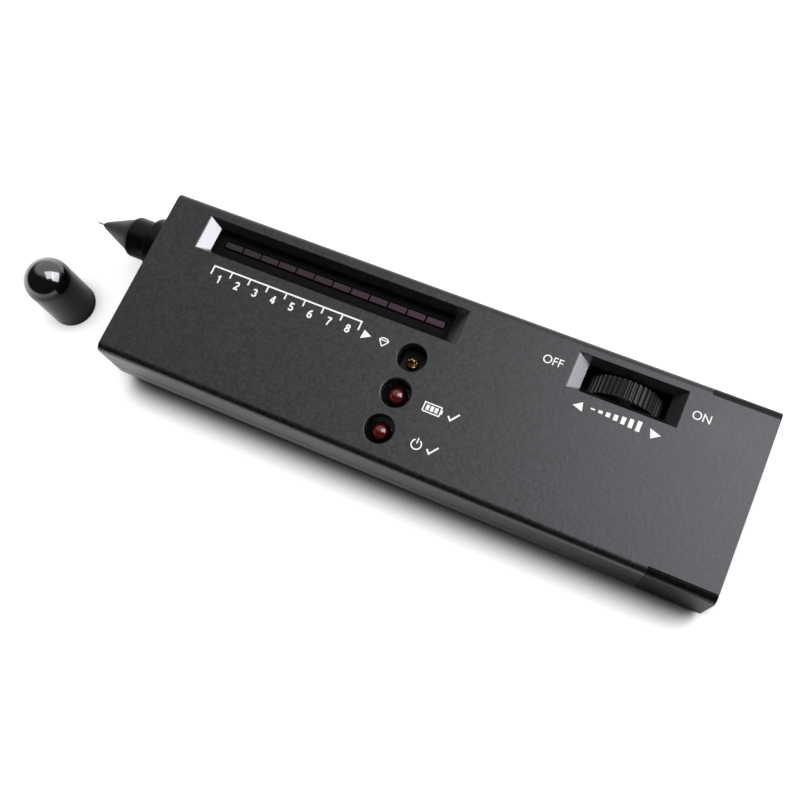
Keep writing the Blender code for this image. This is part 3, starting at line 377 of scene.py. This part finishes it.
def boardFinish():
    look = boardLook
    f = Finish("board_finish", Specular_IOR_Level=look["gloss"])
    weave = f.noise(*look["weave"], f.stretched(*look["weaveAcross"]))
    gaps = f.cells(look["trackSize"], "DISTANCE_TO_EDGE", f.stretched(1, 1, 0))
    tracks = f.spread(gaps, *look["trackEdge"], 1, 0) * (f.noise(*look["fields"]) > look["fieldFrom"])
    pads = f.cells(look["padSize"], "F1", f.stretched(1, 1, 0)) < look["padReach"]
    mask = f.mixed(tracks, look["mask"], look["overTrack"])
    coated = f.mixed(weave * look["weaveShare"], mask, look["weaveColour"])
    f.feed("Base Color", f.mixed(pads, coated, look["tin"]))
    f.feed("Metallic", pads * look["padMetal"])
    f.feed("Roughness", look["rough"] + weave * look["weaveRough"])
    f.feed("Normal", f.bump(tracks + pads + weave * look["weaveHeight"], look["depth"], f.rounded(look["edge"])))
    return f.material


barLook = {                                                     # milky lens, browner at the nose, purple to the tail
    "nose": srgb(44, 34, 35), "tail": srgb(66, 34, 56), "noseX": -0.062, "tailX": -0.002, "milk": srgb(32, 20, 26),
    "clouds": (0.0009, 3, 0.6), "clouded": (0.3, 0.75), "cloudShare": 0.4, "rough": 0.3, "cloudRough": 0.12,
    "gloss": 0.25, "coat": 0.1, "coatRough": 0.2, "depth": 0.000008, "edge": 0.00015,
}


def barFinish():
    look = barLook
    f = Finish("bar_lens_finish", Specular_IOR_Level=look["gloss"],
               Coat_Weight=look["coat"], Coat_Roughness=look["coatRough"])
    along = f.spread(f.along("X"), look["noseX"], look["tailX"])
    cloud = f.noise(*look["clouds"])
    tint = f.mixed(along, look["nose"], look["tail"])
    f.feed("Base Color", f.mixed(f.spread(cloud, *look["clouded"]) * look["cloudShare"], tint, look["milk"]))
    f.feed("Roughness", look["rough"] + cloud * look["cloudRough"])
    f.feed("Normal", f.bump(cloud, look["depth"], f.rounded(look["edge"])))
    return f.material


lampLook = {                                                    # red lens with painted light: a painted glow of the cup inside at its crown, painted shade to the rim
    # the crown colour is a painted glow of the cup, the side colour is painted shade at the rim
    "crown": srgb(84, 9, 11), "side": srgb(24, 2, 4), "crownHeight": 0.0209, "sideHeight": 0.0193,
    "clouds": (0.0009, 3, 0.6), "cloudLift": 0.0005, "rough": 0.16, "cloudRough": 0.12, "depth": 0.000012,
    "ior": 1.5, "gloss": 0.05, "coat": 0.5, "coatIor": 2.0, "coatRough": 0.05,
}


def lampFinish():
    look = lampLook
    f = Finish("red_lamp_finish", IOR=look["ior"], Specular_IOR_Level=look["gloss"],
               Coat_Weight=look["coat"], Coat_IOR=look["coatIor"], Coat_Roughness=look["coatRough"])
    cloud = f.noise(*look["clouds"])
    crown = f.spread(f.along("Z") + (cloud - 0.5) * look["cloudLift"], look["sideHeight"], look["crownHeight"])
    # painted light by height: painted glow at the crown, painted shade down the side
    f.feed("Base Color", f.mixed(crown * crown, look["side"], look["crown"]))
    f.feed("Roughness", look["rough"] + cloud * look["cloudRough"])
    f.feed("Normal", f.bump(cloud, look["depth"]))
    return f.material


capacitorLook = {                                               # dark sleeve with a pale stripe for the minus side
    "sleeve": (srgb(24, 26, 40), srgb(34, 36, 52)), "stripe": srgb(190, 190, 182), "every": 0.0031,
    "stripeFrom": 0.0026, "chips": (0.0008, 1), "chipFrom": 0.2, "grain": (0.0007, 2),
    "rough": 0.32, "grainRough": 0.15, "depth": 0.000008, "edge": 0.0002,
}


def capacitorFinish():
    look = capacitorLook
    f = Finish("capacitor_sleeve_finish")
    grain = f.noise(*look["grain"])
    step = f.node("ShaderNodeMath", {"operation": "PINGPONG"}, {0: f.along("X"), 1: look["every"]})
    stripe = (step > look["stripeFrom"]) * (f.noise(*look["chips"]) > look["chipFrom"])
    f.feed("Base Color", f.mixed(stripe, f.mixed(grain, *look["sleeve"]), look["stripe"]))
    f.feed("Roughness", look["rough"] + grain * look["grainRough"])
    f.feed("Normal", f.bump(grain, look["depth"], f.rounded(look["edge"])))
    return f.material


resistorLook = {                                                # tan coat with colour rings round the body
    "coat": (srgb(196, 168, 122), srgb(178, 150, 104)), "every": 0.0013, "ringFrom": 0.0009, "ringTo": 0.00125,
    "hues": [(0.0, srgb(120, 60, 20)), (0.45, srgb(20, 20, 20)),
             (0.6, srgb(170, 30, 24)), (1.0, srgb(190, 150, 60))],
    "hueChange": (0.004, 0), "grain": (0.0005, 2), "rough": 0.38, "grainRough": 0.15,
    "depth": 0.00001, "edge": 0.00015,
}


def resistorFinish():
    look = resistorLook
    f = Finish("resistor_coat_finish")
    grain = f.noise(*look["grain"])
    step = f.node("ShaderNodeMath", {"operation": "PINGPONG"}, {0: f.along("X"), 1: look["every"]})
    ring = (step > look["ringFrom"]) * (step < look["ringTo"])
    hue = f.ramp(f.noise(*look["hueChange"]), look["hues"])
    f.feed("Base Color", f.mixed(ring, f.mixed(grain, *look["coat"]), hue))
    f.feed("Roughness", look["rough"] + grain * look["grainRough"])
    f.feed("Normal", f.bump(grain, look["depth"], f.rounded(look["edge"])))
    return f.material


batteryLook = {                                                 # printed foil: dark body, a warm band, no words
    "body": srgb(26, 27, 30), "band": srgb(176, 112, 52), "bandFrom": 0.0585, "bandTo": 0.071,
    "scuffs": (0.004, 5, 0.7), "scuffed": (0.5, 0.75), "scuffColour": srgb(150, 148, 142), "scuffShare": 0.25,
    "metal": 0.35, "scuffMetal": 0.3, "rough": 0.34, "scuffRough": 0.2, "coat": 0.5, "coatRough": 0.15,
    "dents": (0.0022, 3), "depth": 0.00002, "edge": 0.0006,
}


def batteryFinish():
    look = batteryLook
    f = Finish("battery_wrap_finish", Coat_Weight=look["coat"], Coat_Roughness=look["coatRough"])
    along = f.along("X")
    scuff = f.spread(f.noise(*look["scuffs"]), *look["scuffed"])
    band = (along > look["bandFrom"]) * (along < look["bandTo"])
    sleeve = f.mixed(band, look["body"], look["band"])
    f.feed("Base Color", f.mixed(scuff * look["scuffShare"], sleeve, look["scuffColour"]))
    f.feed("Metallic", look["metal"] + scuff * look["scuffMetal"])
    f.feed("Roughness", look["rough"] + scuff * look["scuffRough"])
    f.feed("Normal", f.bump(f.noise(*look["dents"]), look["depth"], f.rounded(look["edge"])))
    return f.material


inkLook = {
    "white": srgb(246, 246, 243), "thin": srgb(196, 197, 196), "specks": (0.0003, 3, 0.7), "speckled": (0.55, 0.8),
    "speckShare": 0.35, "rough": 0.5, "speckRough": 0.15, "depth": 0.000004,
}


def inkFinish():
    look = inkLook
    f = Finish("white_ink_finish")
    speck = f.noise(*look["specks"])
    thinned = f.spread(speck, *look["speckled"]) * look["speckShare"]
    f.feed("Base Color", f.mixed(thinned, look["white"], look["thin"]))
    f.feed("Roughness", look["rough"] + speck * look["speckRough"])
    f.feed("Normal", f.bump(speck, look["depth"]))
    return f.material


farAbove = 0.5                                                  # for a shell that has the walls' finish all over
finishes = {slot: plasticFinish(slot) for slot in plasticLooks}
finishes.update({slot: metalFinish(slot) for slot in metalLooks})
finishes["case_top"] = caseFinish("case_top_finish", caseLook, caseTop, 0.0)
finishes["case_bottom"] = caseFinish("case_bottom_finish", caseLook, farAbove, 0.031)
finishes["end_cap"] = caseFinish("end_cap_finish", endCapLook, farAbove, 0.057)
finishes["brass_screw"] = brassFinish()
finishes["board"] = boardFinish()
finishes["bar_lens"] = barFinish()
finishes["red_lamp"] = lampFinish()
finishes["capacitor_sleeve"] = capacitorFinish()
finishes["resistor_coat"] = resistorFinish()
finishes["battery_wrap"] = batteryFinish()
whiteInk = inkFinish()
print("finishes made:", len(finishes) + 1)


# where the photograph was taken from, in metres, with the camera's own three directions
viewSettings = {
    "place": (0.04810, -0.06108, 0.24032), "right": (0.90711, 0.40617, -0.11037),
    "up": (-0.35859, 0.88307, 0.30265), "back": (0.22039, -0.23496, 0.94669),
    "lens": 44.59, "sensor": 36, "nearest": 0.01,
}


def makeCamera():
    s = viewSettings
    data = bpy.data.cameras.new("photoCamera")
    data.lens = s["lens"]
    data.sensor_width = s["sensor"]
    data.clip_start = s["nearest"]
    camera = bpy.data.objects.new("photoCamera", data)
    bpy.context.scene.collection.objects.link(camera)
    turn = Matrix((s["right"], s["up"], s["back"])).transposed()
    camera.matrix_world = Matrix.Translation(s["place"]) @ turn.to_4x4()
    bpy.context.scene.camera = camera


# azimuth and height in degrees, the rest in metres and watts
panelTint = (0.97, 0.98, 1.06)
lampSettings = {
    "keyLamp":    {"azimuth": 45, "height": 48, "wide": 0.6, "tall": 0.5, "power": 2.2, "tint": (1.0, 1.0, 1.0)},
    "glossPanel": {"azimuth": 32, "height": 35.5, "wide": 0.7, "tall": 0.5, "power": 6.2, "tint": panelTint},
    "sheenPanel": {"azimuth": 41, "height": 65, "wide": 0.55, "tall": 0.45, "power": 3.7, "tint": panelTint},
}
lampAim = Vector((0, 0, 0.01))
lampAway = 0.8


def areaLamp(name, lightsColours):
    s = lampSettings[name]
    az, el = math.radians(s["azimuth"]), math.radians(s["height"])
    data = bpy.data.lights.new(name, "AREA")
    data.shape = "RECTANGLE"
    data.size = s["wide"]
    data.size_y = s["tall"]
    data.energy = s["power"]
    data.color = s["tint"]
    lamp = bpy.data.objects.new(name, data)
    bpy.context.scene.collection.objects.link(lamp)
    toLamp = Vector((math.cos(el) * math.cos(az), math.cos(el) * math.sin(az), math.sin(el)))
    lamp.location = lampAim + lampAway * toLamp
    lamp.rotation_euler = (lamp.location - lampAim).to_track_quat("Z", "Y").to_euler()
    lamp.visible_diffuse = lightsColours                        # it lights the colours or only shows in gloss
    lamp.visible_glossy = not lightsColours
    lamp.visible_transmission = not lightsColours
    lamp.visible_camera = False


# gloss shows a dark room with a bright back and a pale band low round it, matt faces get even light
roomSettings = {
    "level": 0.85, "dark": 0.03, "bright": 0.92, "brightSide": (-0.1, 0.75, 0.65), "turnsBright": (0.46, 0.7),
    "band": 0.8, "bandEnds": (0.03, 0.16), "nearSide": (-0.7, -0.2), "nearShare": 0.1,
}


def makeLight():
    s = roomSettings
    areaLamp("keyLamp", True)
    areaLamp("glossPanel", False)
    areaLamp("sheenPanel", False)
    world = bpy.data.worlds.new("studio")
    world.use_nodes = True
    w = Wiring(world.node_tree)
    direction = w.node("ShaderNodeTexCoord", output="Generated")
    toBack = {0: direction, 1: s["brightSide"]}
    facing = w.node("ShaderNodeVectorMath", {"operation": "DOT_PRODUCT"}, toBack, "Value")
    room = w.spread(facing, *s["turnsBright"], s["dark"], s["bright"])
    band = w.spread(w.share(direction, "Z"), *s["bandEnds"], s["band"], 0.0)
    band = band * w.spread(w.share(direction, "Y"), *s["nearSide"], s["nearShare"], 1.0)
    camera = w.ray("Camera")
    mirror = w.larger(w.ray("Glossy"), w.ray("Transmission"))
    level = camera + (1 - camera) * (mirror * w.larger(room, band) + (1 - mirror) * s["level"])
    dark = w.node("ShaderNodeBackground", {}, {0: (0.0, 0.0, 0.0), 1: 1.0})
    white = w.node("ShaderNodeBackground", {}, {0: (1.0, 1.0, 1.0), 1: 1.0})
    both = w.node("ShaderNodeMixShader", {}, {0: level, 1: dark, 2: white})
    w.node("ShaderNodeOutputWorld", {}, {0: both}, None)
    bpy.context.scene.world = world
    bpy.context.scene.view_settings.view_transform = "Standard"


# white paper with the contact shadow kept: a crisp shadow for the camera, a wide one in gloss
floorSettings = {
    "half": 3, "drop": 0.00002, "pale": 0.9, "glow": 0.5, "rough": 0.9, "gloss": 0.1,
    "blots": (0.05, 3), "blotShare": 0.05, "blotDark": 0.96,
    "reach": 0.011, "deep": 0.47, "clear": 0.95, "deepest": 0.02, "rays": 24,
    "wideReach": 0.03, "wideDeep": 0.36, "wideClear": 0.95, "wideRays": 8,
    "capX": (-0.088, -0.078), "capShade": 0.35,                 # weaker round the cap
    "endX": (0.0785, 0.0815), "endShade": 0.3,                  # and past the tail
    "alongX": (-0.02, 0.068), "noseShade": 1.0, "tailShade": 0.03,   # in gloss the shade deepens to the tail
}


def makeFloor():
    s = floorSettings
    bm = bmesh.new()
    bmesh.ops.create_grid(bm, x_segments=1, y_segments=1, size=s["half"])
    mesh = toMesh("floor", bm)
    f = Finish("floor_finish", Roughness=s["rough"], Specular_IOR_Level=s["gloss"])
    pale, duller = (s["pale"],) * 3, (s["pale"] * s["blotDark"],) * 3
    f.feed("Base Color", f.mixed(f.noise(*s["blots"]) * s["blotShare"], pale, duller))
    close = f.node("ShaderNodeAmbientOcclusion", {"samples": s["rays"]}, {"Distance": s["reach"]}, "AO")
    wide = f.node("ShaderNodeAmbientOcclusion", {"samples": s["wideRays"]}, {"Distance": s["wideReach"]}, "AO")
    camera, glossy, through = f.ray("Camera"), f.ray("Glossy"), f.ray("Transmission")
    crisp = f.node("ShaderNodeMapRange", {"interpolation_type": "SMOOTHSTEP"},
                   {0: close, 1: s["deep"], 2: s["clear"], 3: s["deepest"], 4: 1.0})
    capShare = f.spread(f.along("X"), *s["capX"], s["capShade"], 1.0)
    endShare = f.spread(f.along("X"), *s["endX"], 1.0, s["endShade"])
    crisp = 1 - (1 - crisp) * capShare * endShare
    openness = f.spread(wide, s["wideDeep"], s["wideClear"])
    ends = f.spread(f.along("X"), *s["alongX"], s["noseShade"], s["tailShade"])
    bright = camera * crisp + (1 - camera) * openness * (ends + (1 - ends) * openness * openness * openness)
    paper = f.node("ShaderNodeBsdfDiffuse", {}, {0: pale})
    glow = f.node("ShaderNodeEmission", {}, {0: (1.0, 1.0, 1.0), 1: s["glow"]})
    lit = f.node("ShaderNodeAddShader", {}, {0: paper, 1: glow})
    shaded = f.node("ShaderNodeBsdfDiffuse", {}, {0: (0.0, 0.0, 0.0)})
    both = f.node("ShaderNodeMixShader", {}, {0: bright, 1: shaded, 2: lit})
    seen = f.larger(camera, f.larger(glossy, through))
    surface = f.node("ShaderNodeMixShader", {}, {0: seen, 1: f.surface, 2: both})
    f.tree.links.new(surface.socket, f.ending.inputs[0])
    mesh.materials.append(f.material)
    floor = bpy.data.objects.new("floor", mesh)
    bpy.context.scene.collection.objects.link(floor)
    floor.location.z = -s["drop"]


makeCamera()
makeLight()
makeFloor()
print("camera, light and floor set")

# how a solid's mesh is cleaned and eased, in metres and degrees
shapeSettings = {
    "weld": 2e-6, "flat": 0.7, "near": 0.00001, "sharp": 35,
    "corner": 40, "easedSteps": 2, "rimNear": 0.00002, "rimSteps": 3,
}


def slotOf(node):
    return frame["nodes"][node].data.materials[0].name


def easeEdges(bm, edges, width, steps):
    bmesh.ops.bevel(bm, geom=edges, offset=width, segments=steps, profile=0.5, affect="EDGES", clamp_overlap=True)


# the solid's own shape with clean faces: eased is the width taken off its corners, rims are round edges
# of the top face to round over, and closer moves a joint's face nearer to its neighbour
def refined(name, node, finish, eased=0.0, rims=(), closer=()):
    s = shapeSettings
    source = frame["nodes"][node]
    bm = bmesh.new()
    bm.from_mesh(source.data)
    bmesh.ops.remove_doubles(bm, verts=bm.verts, dist=s["weld"])
    bmesh.ops.dissolve_limit(bm, angle_limit=math.radians(s["flat"]), verts=bm.verts, edges=bm.edges)
    for axis, place, better in closer:
        for v in bm.verts:
            if abs(v.co[axis] - place) < s["near"]:
                v.co[axis] = better
    if eased:
        turn = math.radians(s["corner"])
        corners = [e for e in bm.edges if len(e.link_faces) == 2 and e.calc_face_angle() > turn]
        easeEdges(bm, corners, eased, s["easedSteps"])
    for x, y, reach, width in rims:
        near = {v for v in bm.verts
                if abs(v.co.z - caseTop) < s["rimNear"] and math.hypot(v.co.x - x, v.co.y - y) < reach}
        easeEdges(bm, [e for e in bm.edges if all(v in near for v in e.verts)], width, s["rimSteps"])
    addPiece(name, toMesh(name, bm), source["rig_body"], finish, s["sharp"], [node])


holeSettings = {"under": ("trimmer_body", "battery_lamp", "ready_lamp"), "reach": 0.0037, "rim": 0.00045}
coverSettings = {                                               # its joint's faces, as axis, place and new place
    "front": (0, 0.0627, 0.06249), "farSide": (1, 0.0212, 0.02098), "nearSide": (1, -0.0212, -0.02106),
}
easedNodes = {"trimmer_screw": 0.00012, "wheel_screw": 0.00015}
easedNodes.update({f"case_screw_{k}": 0.0001 for k in range(1, 5)})

holeRims = []
for node in holeSettings["under"]:                              # each hole stands over the middle of its part
    low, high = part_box(node)
    holeRims.append(((low.x + high.x) / 2, (low.y + high.y) / 2, holeSettings["reach"], holeSettings["rim"]))
refined("topCover", "top_cover", finishes["case_top"], rims=holeRims)
refined("bottomCover", "bottom_cover", finishes["case_bottom"])
refined("batteryCover", "battery_cover", finishes["end_cap"], closer=coverSettings.values())

# the other solids keep their shapes
plainNodes = [
    "case_screw_1", "case_screw_2", "case_screw_3", "case_screw_4", "contact_plate", "circuit_board",
    "bar_led_holder", "trimmer_body", "trimmer_screw", "chip_1", "chip_2",
    "resistor_1", "resistor_2", "resistor_3", "resistor_4", "capacitor_1", "capacitor_2", "transistor", "buzzer",
    "volume_wheel", "wheel_shaft", "wheel_screw", "volume_pot", "pot_terminals",
    "battery", "battery_stud", "battery_socket", "snap_stud", "snap_socket", "battery_snap",
    "battery_lead_red", "battery_lead_black",
    "probe_barrel", "probe_cone", "tip_ring", "probe_pin", "probe_heater", "probe_spring", "probe_plug",
    "probe_lead_white", "probe_lead_blue", "probe_cap", "battery_lamp", "ready_lamp",
] + [f"bar_led_{k}" for k in range(1, 13)]
for node in plainNodes:
    first, *others = node.split("_")
    name = first + "".join(word.capitalize() for word in others)
    refined(name, node, finishes[slotOf(node)], easedNodes.get(node, 0.0))

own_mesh(bpy.data.objects["probeSpring"])
print("pieces refined:", len(plainNodes) + 3)

# white prints on the top face, 0.012 mm thick; a digit's weight is a share of its height
inkSettings = {
    "rise": 0.000012, "sunk": 0.000002, "step": 0.0000006, "sharp": 30, "leastTurn": 0.55,
    "digitTall": 0.0021, "digitWeight": 0.195, "wordTall": 0.0021, "wordWide": 0.95,
}


def inkPiece(name, shapes):
    s = inkSettings
    bm = bmesh.new()
    for layer, shape in enumerate(shapes):
        over = caseTop + s["rise"] - layer * s["step"]          # strokes that cross lie a hair apart
        low = [bm.verts.new((x, y, caseTop - s["sunk"])) for x, y in shape]
        high = [bm.verts.new((x, y, over)) for x, y in shape]
        bm.faces.new(high)
        bm.faces.new(low[::-1])
        for k in range(len(high)):
            after = (k + 1) % len(high)
            bm.faces.new((low[k], low[after], high[after], high[k]))
    bmesh.ops.recalc_face_normals(bm, faces=bm.faces)
    addPiece(name, toMesh(name, bm), "case", whiteInk, s["sharp"])


def bar(x0, y0, x1, y1):
    return [(x0, y0), (x1, y0), (x1, y1), (x0, y1)]


def stroke(x0, y0, x1, y1, width):
    run = Vector((x1 - x0, y1 - y0))
    side = Vector((-run.y, run.x)).normalized() * width / 2
    return [(x0 - side.x, y0 - side.y), (x1 - side.x, y1 - side.y),
            (x1 + side.x, y1 + side.y), (x0 + side.x, y0 + side.y)]


def strokeLine(points, width):                                  # one even stroke along a bent line
    left, right = [], []
    for k, point in enumerate(points):
        before = Vector(points[max(k - 1, 0)])
        after = Vector(points[min(k + 1, len(points) - 1)])
        here = Vector(point)
        runs = [(here - before).normalized(), (after - here).normalized()]
        runs = [r for r in runs if r.length > 0.5]              # an end has only one
        side = sum((Vector((-r.y, r.x)) for r in runs), Vector((0, 0))).normalized()
        turn = side.dot(Vector((-runs[0].y, runs[0].x)))
        reach = width / 2 / max(turn, inkSettings["leastTurn"])   # a sharp corner stays short
        left.append(tuple(here + side * reach))
        right.append(tuple(here - side * reach))
    return left + right[::-1]


def bow(x, y, wide, high, start, end, steps=14):                # part of an oval, its angles counted from +X
    turns = [math.radians(start + (end - start) * k / steps) for k in range(steps + 1)]
    return [(x + wide * math.cos(turn), y + high * math.sin(turn)) for turn in turns]


digitLines = {                                                  # on a field 0.6 wide and 1 high
    1: [[(0.1, 0.74), (0.27, 0.8), (0.37, 0.93)], [(0.37, 1.0), (0.37, 0.0)]],
    2: [bow(0.3, 0.71, 0.22, 0.22, 170, -25) + [(0.24, 0.26), (0.09, 0.075)], [(0.02, 0.075), (0.58, 0.075)]],
    3: [bow(0.28, 0.72, 0.2, 0.205, 165, -80), bow(0.28, 0.29, 0.23, 0.215, 85, -165)],
    4: [[(0.42, 0.98), (0.06, 0.32)], [(0.02, 0.28), (0.6, 0.28)], [(0.42, 1.0), (0.42, 0.0)]],
    5: [[(0.54, 0.925), (0.13, 0.925), (0.1, 0.5)], bow(0.28, 0.32, 0.23, 0.245, 135, -160)],
    6: [bow(0.3, 0.31, 0.22, 0.235, 0, 360, 24), bow(0.5, 0.4, 0.42, 0.52, 175, 92, 8)],
    7: [[(0.03, 0.925), (0.56, 0.925)], [(0.54, 0.9), (0.34, 0.5), (0.24, 0.0)]],
    8: [bow(0.3, 0.73, 0.185, 0.195, 0, 360, 24), bow(0.3, 0.29, 0.225, 0.215, 0, 360, 24)],
}
digitMiddle = (0.3, 0.5)


def inkDigit(name, digit, centreX, centreY):
    tall = inkSettings["digitTall"]
    lines = [[((x - digitMiddle[0]) * tall + centreX, (y - digitMiddle[1]) * tall + centreY) for x, y in line]
             for line in digitLines[digit]]
    inkPiece(name, [strokeLine(line, inkSettings["digitWeight"] * tall) for line in lines])


def inkWord(name, word, centreX, centreY):
    s = inkSettings
    curve = bpy.data.curves.new(name, "FONT")
    curve.body = word
    shaped = bpy.data.objects.new(name, curve)
    bpy.context.scene.collection.objects.link(shaped)
    bpy.context.view_layer.update()
    mesh = bpy.data.meshes.new_from_object(shaped.evaluated_get(bpy.context.evaluated_depsgraph_get()))
    bpy.data.objects.remove(shaped)
    xs = [v.co.x for v in mesh.vertices]
    ys = [v.co.y for v in mesh.vertices]
    scale = s["wordTall"] / (max(ys) - min(ys))
    middleX, middleY = (max(xs) + min(xs)) / 2, (max(ys) + min(ys)) / 2
    for v in mesh.vertices:
        x = (v.co.x - middleX) * scale * s["wordWide"] + centreX
        y = (v.co.y - middleY) * scale + centreY
        v.co = Vector((x, y, caseTop + s["rise"]))
    addPiece(name, mesh, "case", whiteInk, s["sharp"])


# the scale under the bar lamps: a line with a tick between two digits, longer at its ends
scaleMarks = {
    "start": -0.0600, "pitch": 0.0050875, "digits": 8, "lineY": 0.00766, "line": 0.0004,
    "tick": 0.0017, "endTickY": 0.00535, "digitY": 0.0048,
    "pointer": [(-0.0178, 0.0060), (-0.0180, 0.00365), (-0.0156, 0.0050)],
}


def makeScale():
    s = scaleMarks
    half = s["line"] / 2
    endX = s["start"] + s["digits"] * s["pitch"]
    shapes = [bar(s["start"] - half, s["lineY"] - half, endX + half, s["lineY"] + half)]
    for k in range(s["digits"] + 1):
        x = s["start"] + k * s["pitch"]
        low = s["endTickY"] if k in (0, s["digits"]) else s["lineY"] - s["tick"]
        shapes.append(bar(x - half, low, x + half, s["lineY"] - half))
    inkPiece("scaleLine", shapes)
    for k in range(s["digits"]):
        inkDigit(f"scaleDigit.{k + 1}", k + 1, s["start"] + (k + 0.5) * s["pitch"], s["digitY"])
    inkPiece("scalePointer", [s["pointer"]])


# round the wheel's slot: the two words, an arrow at each side and a wedge of growing bars between them
wheelMarks = {
    "off": (0.0265, 0.0152), "on": (0.0619, 0.0150),
    "arrows": [[(0.0344, 0.0070), (0.0364, 0.0084), (0.0369, 0.0062)],
               [(0.0551, 0.0074), (0.0523, 0.0083), (0.0531, 0.00605)]],
    "bars": 7, "barX": 0.0385, "barY": 0.0077, "barWide": 0.0010, "barPitch": 0.0018, "barGrowth": 0.00018,
}


def makeWheelMarks():
    s = wheelMarks
    inkWord("offWord", "OFF", *s["off"])
    inkWord("onWord", "ON", *s["on"])
    inkPiece("wheelArrows", s["arrows"])
    wedge = []
    for k in range(s["bars"]):
        x, reach = s["barX"] + k * s["barPitch"], s["barGrowth"] * (k + 1)
        wedge.append(bar(x, s["barY"] - reach, x + s["barWide"], s["barY"] + reach))
    inkPiece("wheelWedge", wedge)


# a cut gem's outline behind the scale, with a line across its widest place
gemLook = {
    "corners": [(-0.0135, 0.0052), (-0.0129, 0.0058), (-0.0117, 0.0058), (-0.0111, 0.0052), (-0.0123, 0.0037)],
    "across": (0, 3), "line": 0.00028, "acrossLine": 0.00025,
}


def makeGemMark():
    corners = gemLook["corners"]
    sides = [stroke(*here, *after, gemLook["line"]) for here, after in zip(corners, corners[1:] + corners[:1])]
    left, right = gemLook["across"]
    inkPiece("gemMark", sides + [stroke(*corners[left], *corners[right], gemLook["acrossLine"])])


# plain pictures beside the two lamps, each with a tick behind it; a place is the middle of its left side
lampMarks = {
    "batteryPlace": (0.0030, -0.0061), "readyPlace": (0.0030, -0.0152), "line": 0.0003,
    "cellLong": 0.0042, "cellHalf": 0.0011, "knobLong": 0.0005, "knobHalf": 0.0005,
    "charges": 3, "chargeFrom": 0.0006, "chargeLong": 0.0008, "chargePitch": 0.0011, "chargeHalf": 0.00065,
    "ringX": 0.0021, "ringReach": 0.0012, "ringTurn": (120, 420, 24), "pinLow": 0.0002, "pinHigh": 0.0016,
    "tick": [(0.0, -0.0001), (0.0008, -0.0010), (0.0024, 0.0011)], "tickLine": 0.0004,
    "batteryTick": 0.0062, "readyTick": 0.0048,
}


def tickShape(x, y):
    return strokeLine([(x + dx, y + dy) for dx, dy in lampMarks["tick"]], lampMarks["tickLine"])


def makeBatteryMark():
    s = lampMarks
    x, y = s["batteryPlace"]
    end, low, high = x + s["cellLong"], y - s["cellHalf"], y + s["cellHalf"]
    shapes = [strokeLine([(x, low), (end, low), (end, high), (x, high), (x, low)], s["line"]),
              bar(end, y - s["knobHalf"], end + s["knobLong"], y + s["knobHalf"])]
    for k in range(s["charges"]):
        left = x + s["chargeFrom"] + k * s["chargePitch"]
        shapes.append(bar(left, y - s["chargeHalf"], left + s["chargeLong"], y + s["chargeHalf"]))
    inkPiece("batteryMark", shapes + [tickShape(x + s["batteryTick"], y)])


def makeReadyMark():
    s = lampMarks
    x, y = s["readyPlace"]
    middle = x + s["ringX"]
    shapes = [strokeLine(bow(middle, y, s["ringReach"], s["ringReach"], *s["ringTurn"]), s["line"]),
              stroke(middle, y + s["pinLow"], middle, y + s["pinHigh"], s["line"])]
    inkPiece("readyMark", shapes + [tickShape(x + s["readyTick"], y)])


makeScale()
makeWheelMarks()
makeGemMark()
makeBatteryMark()
makeReadyMark()
print("prints made")
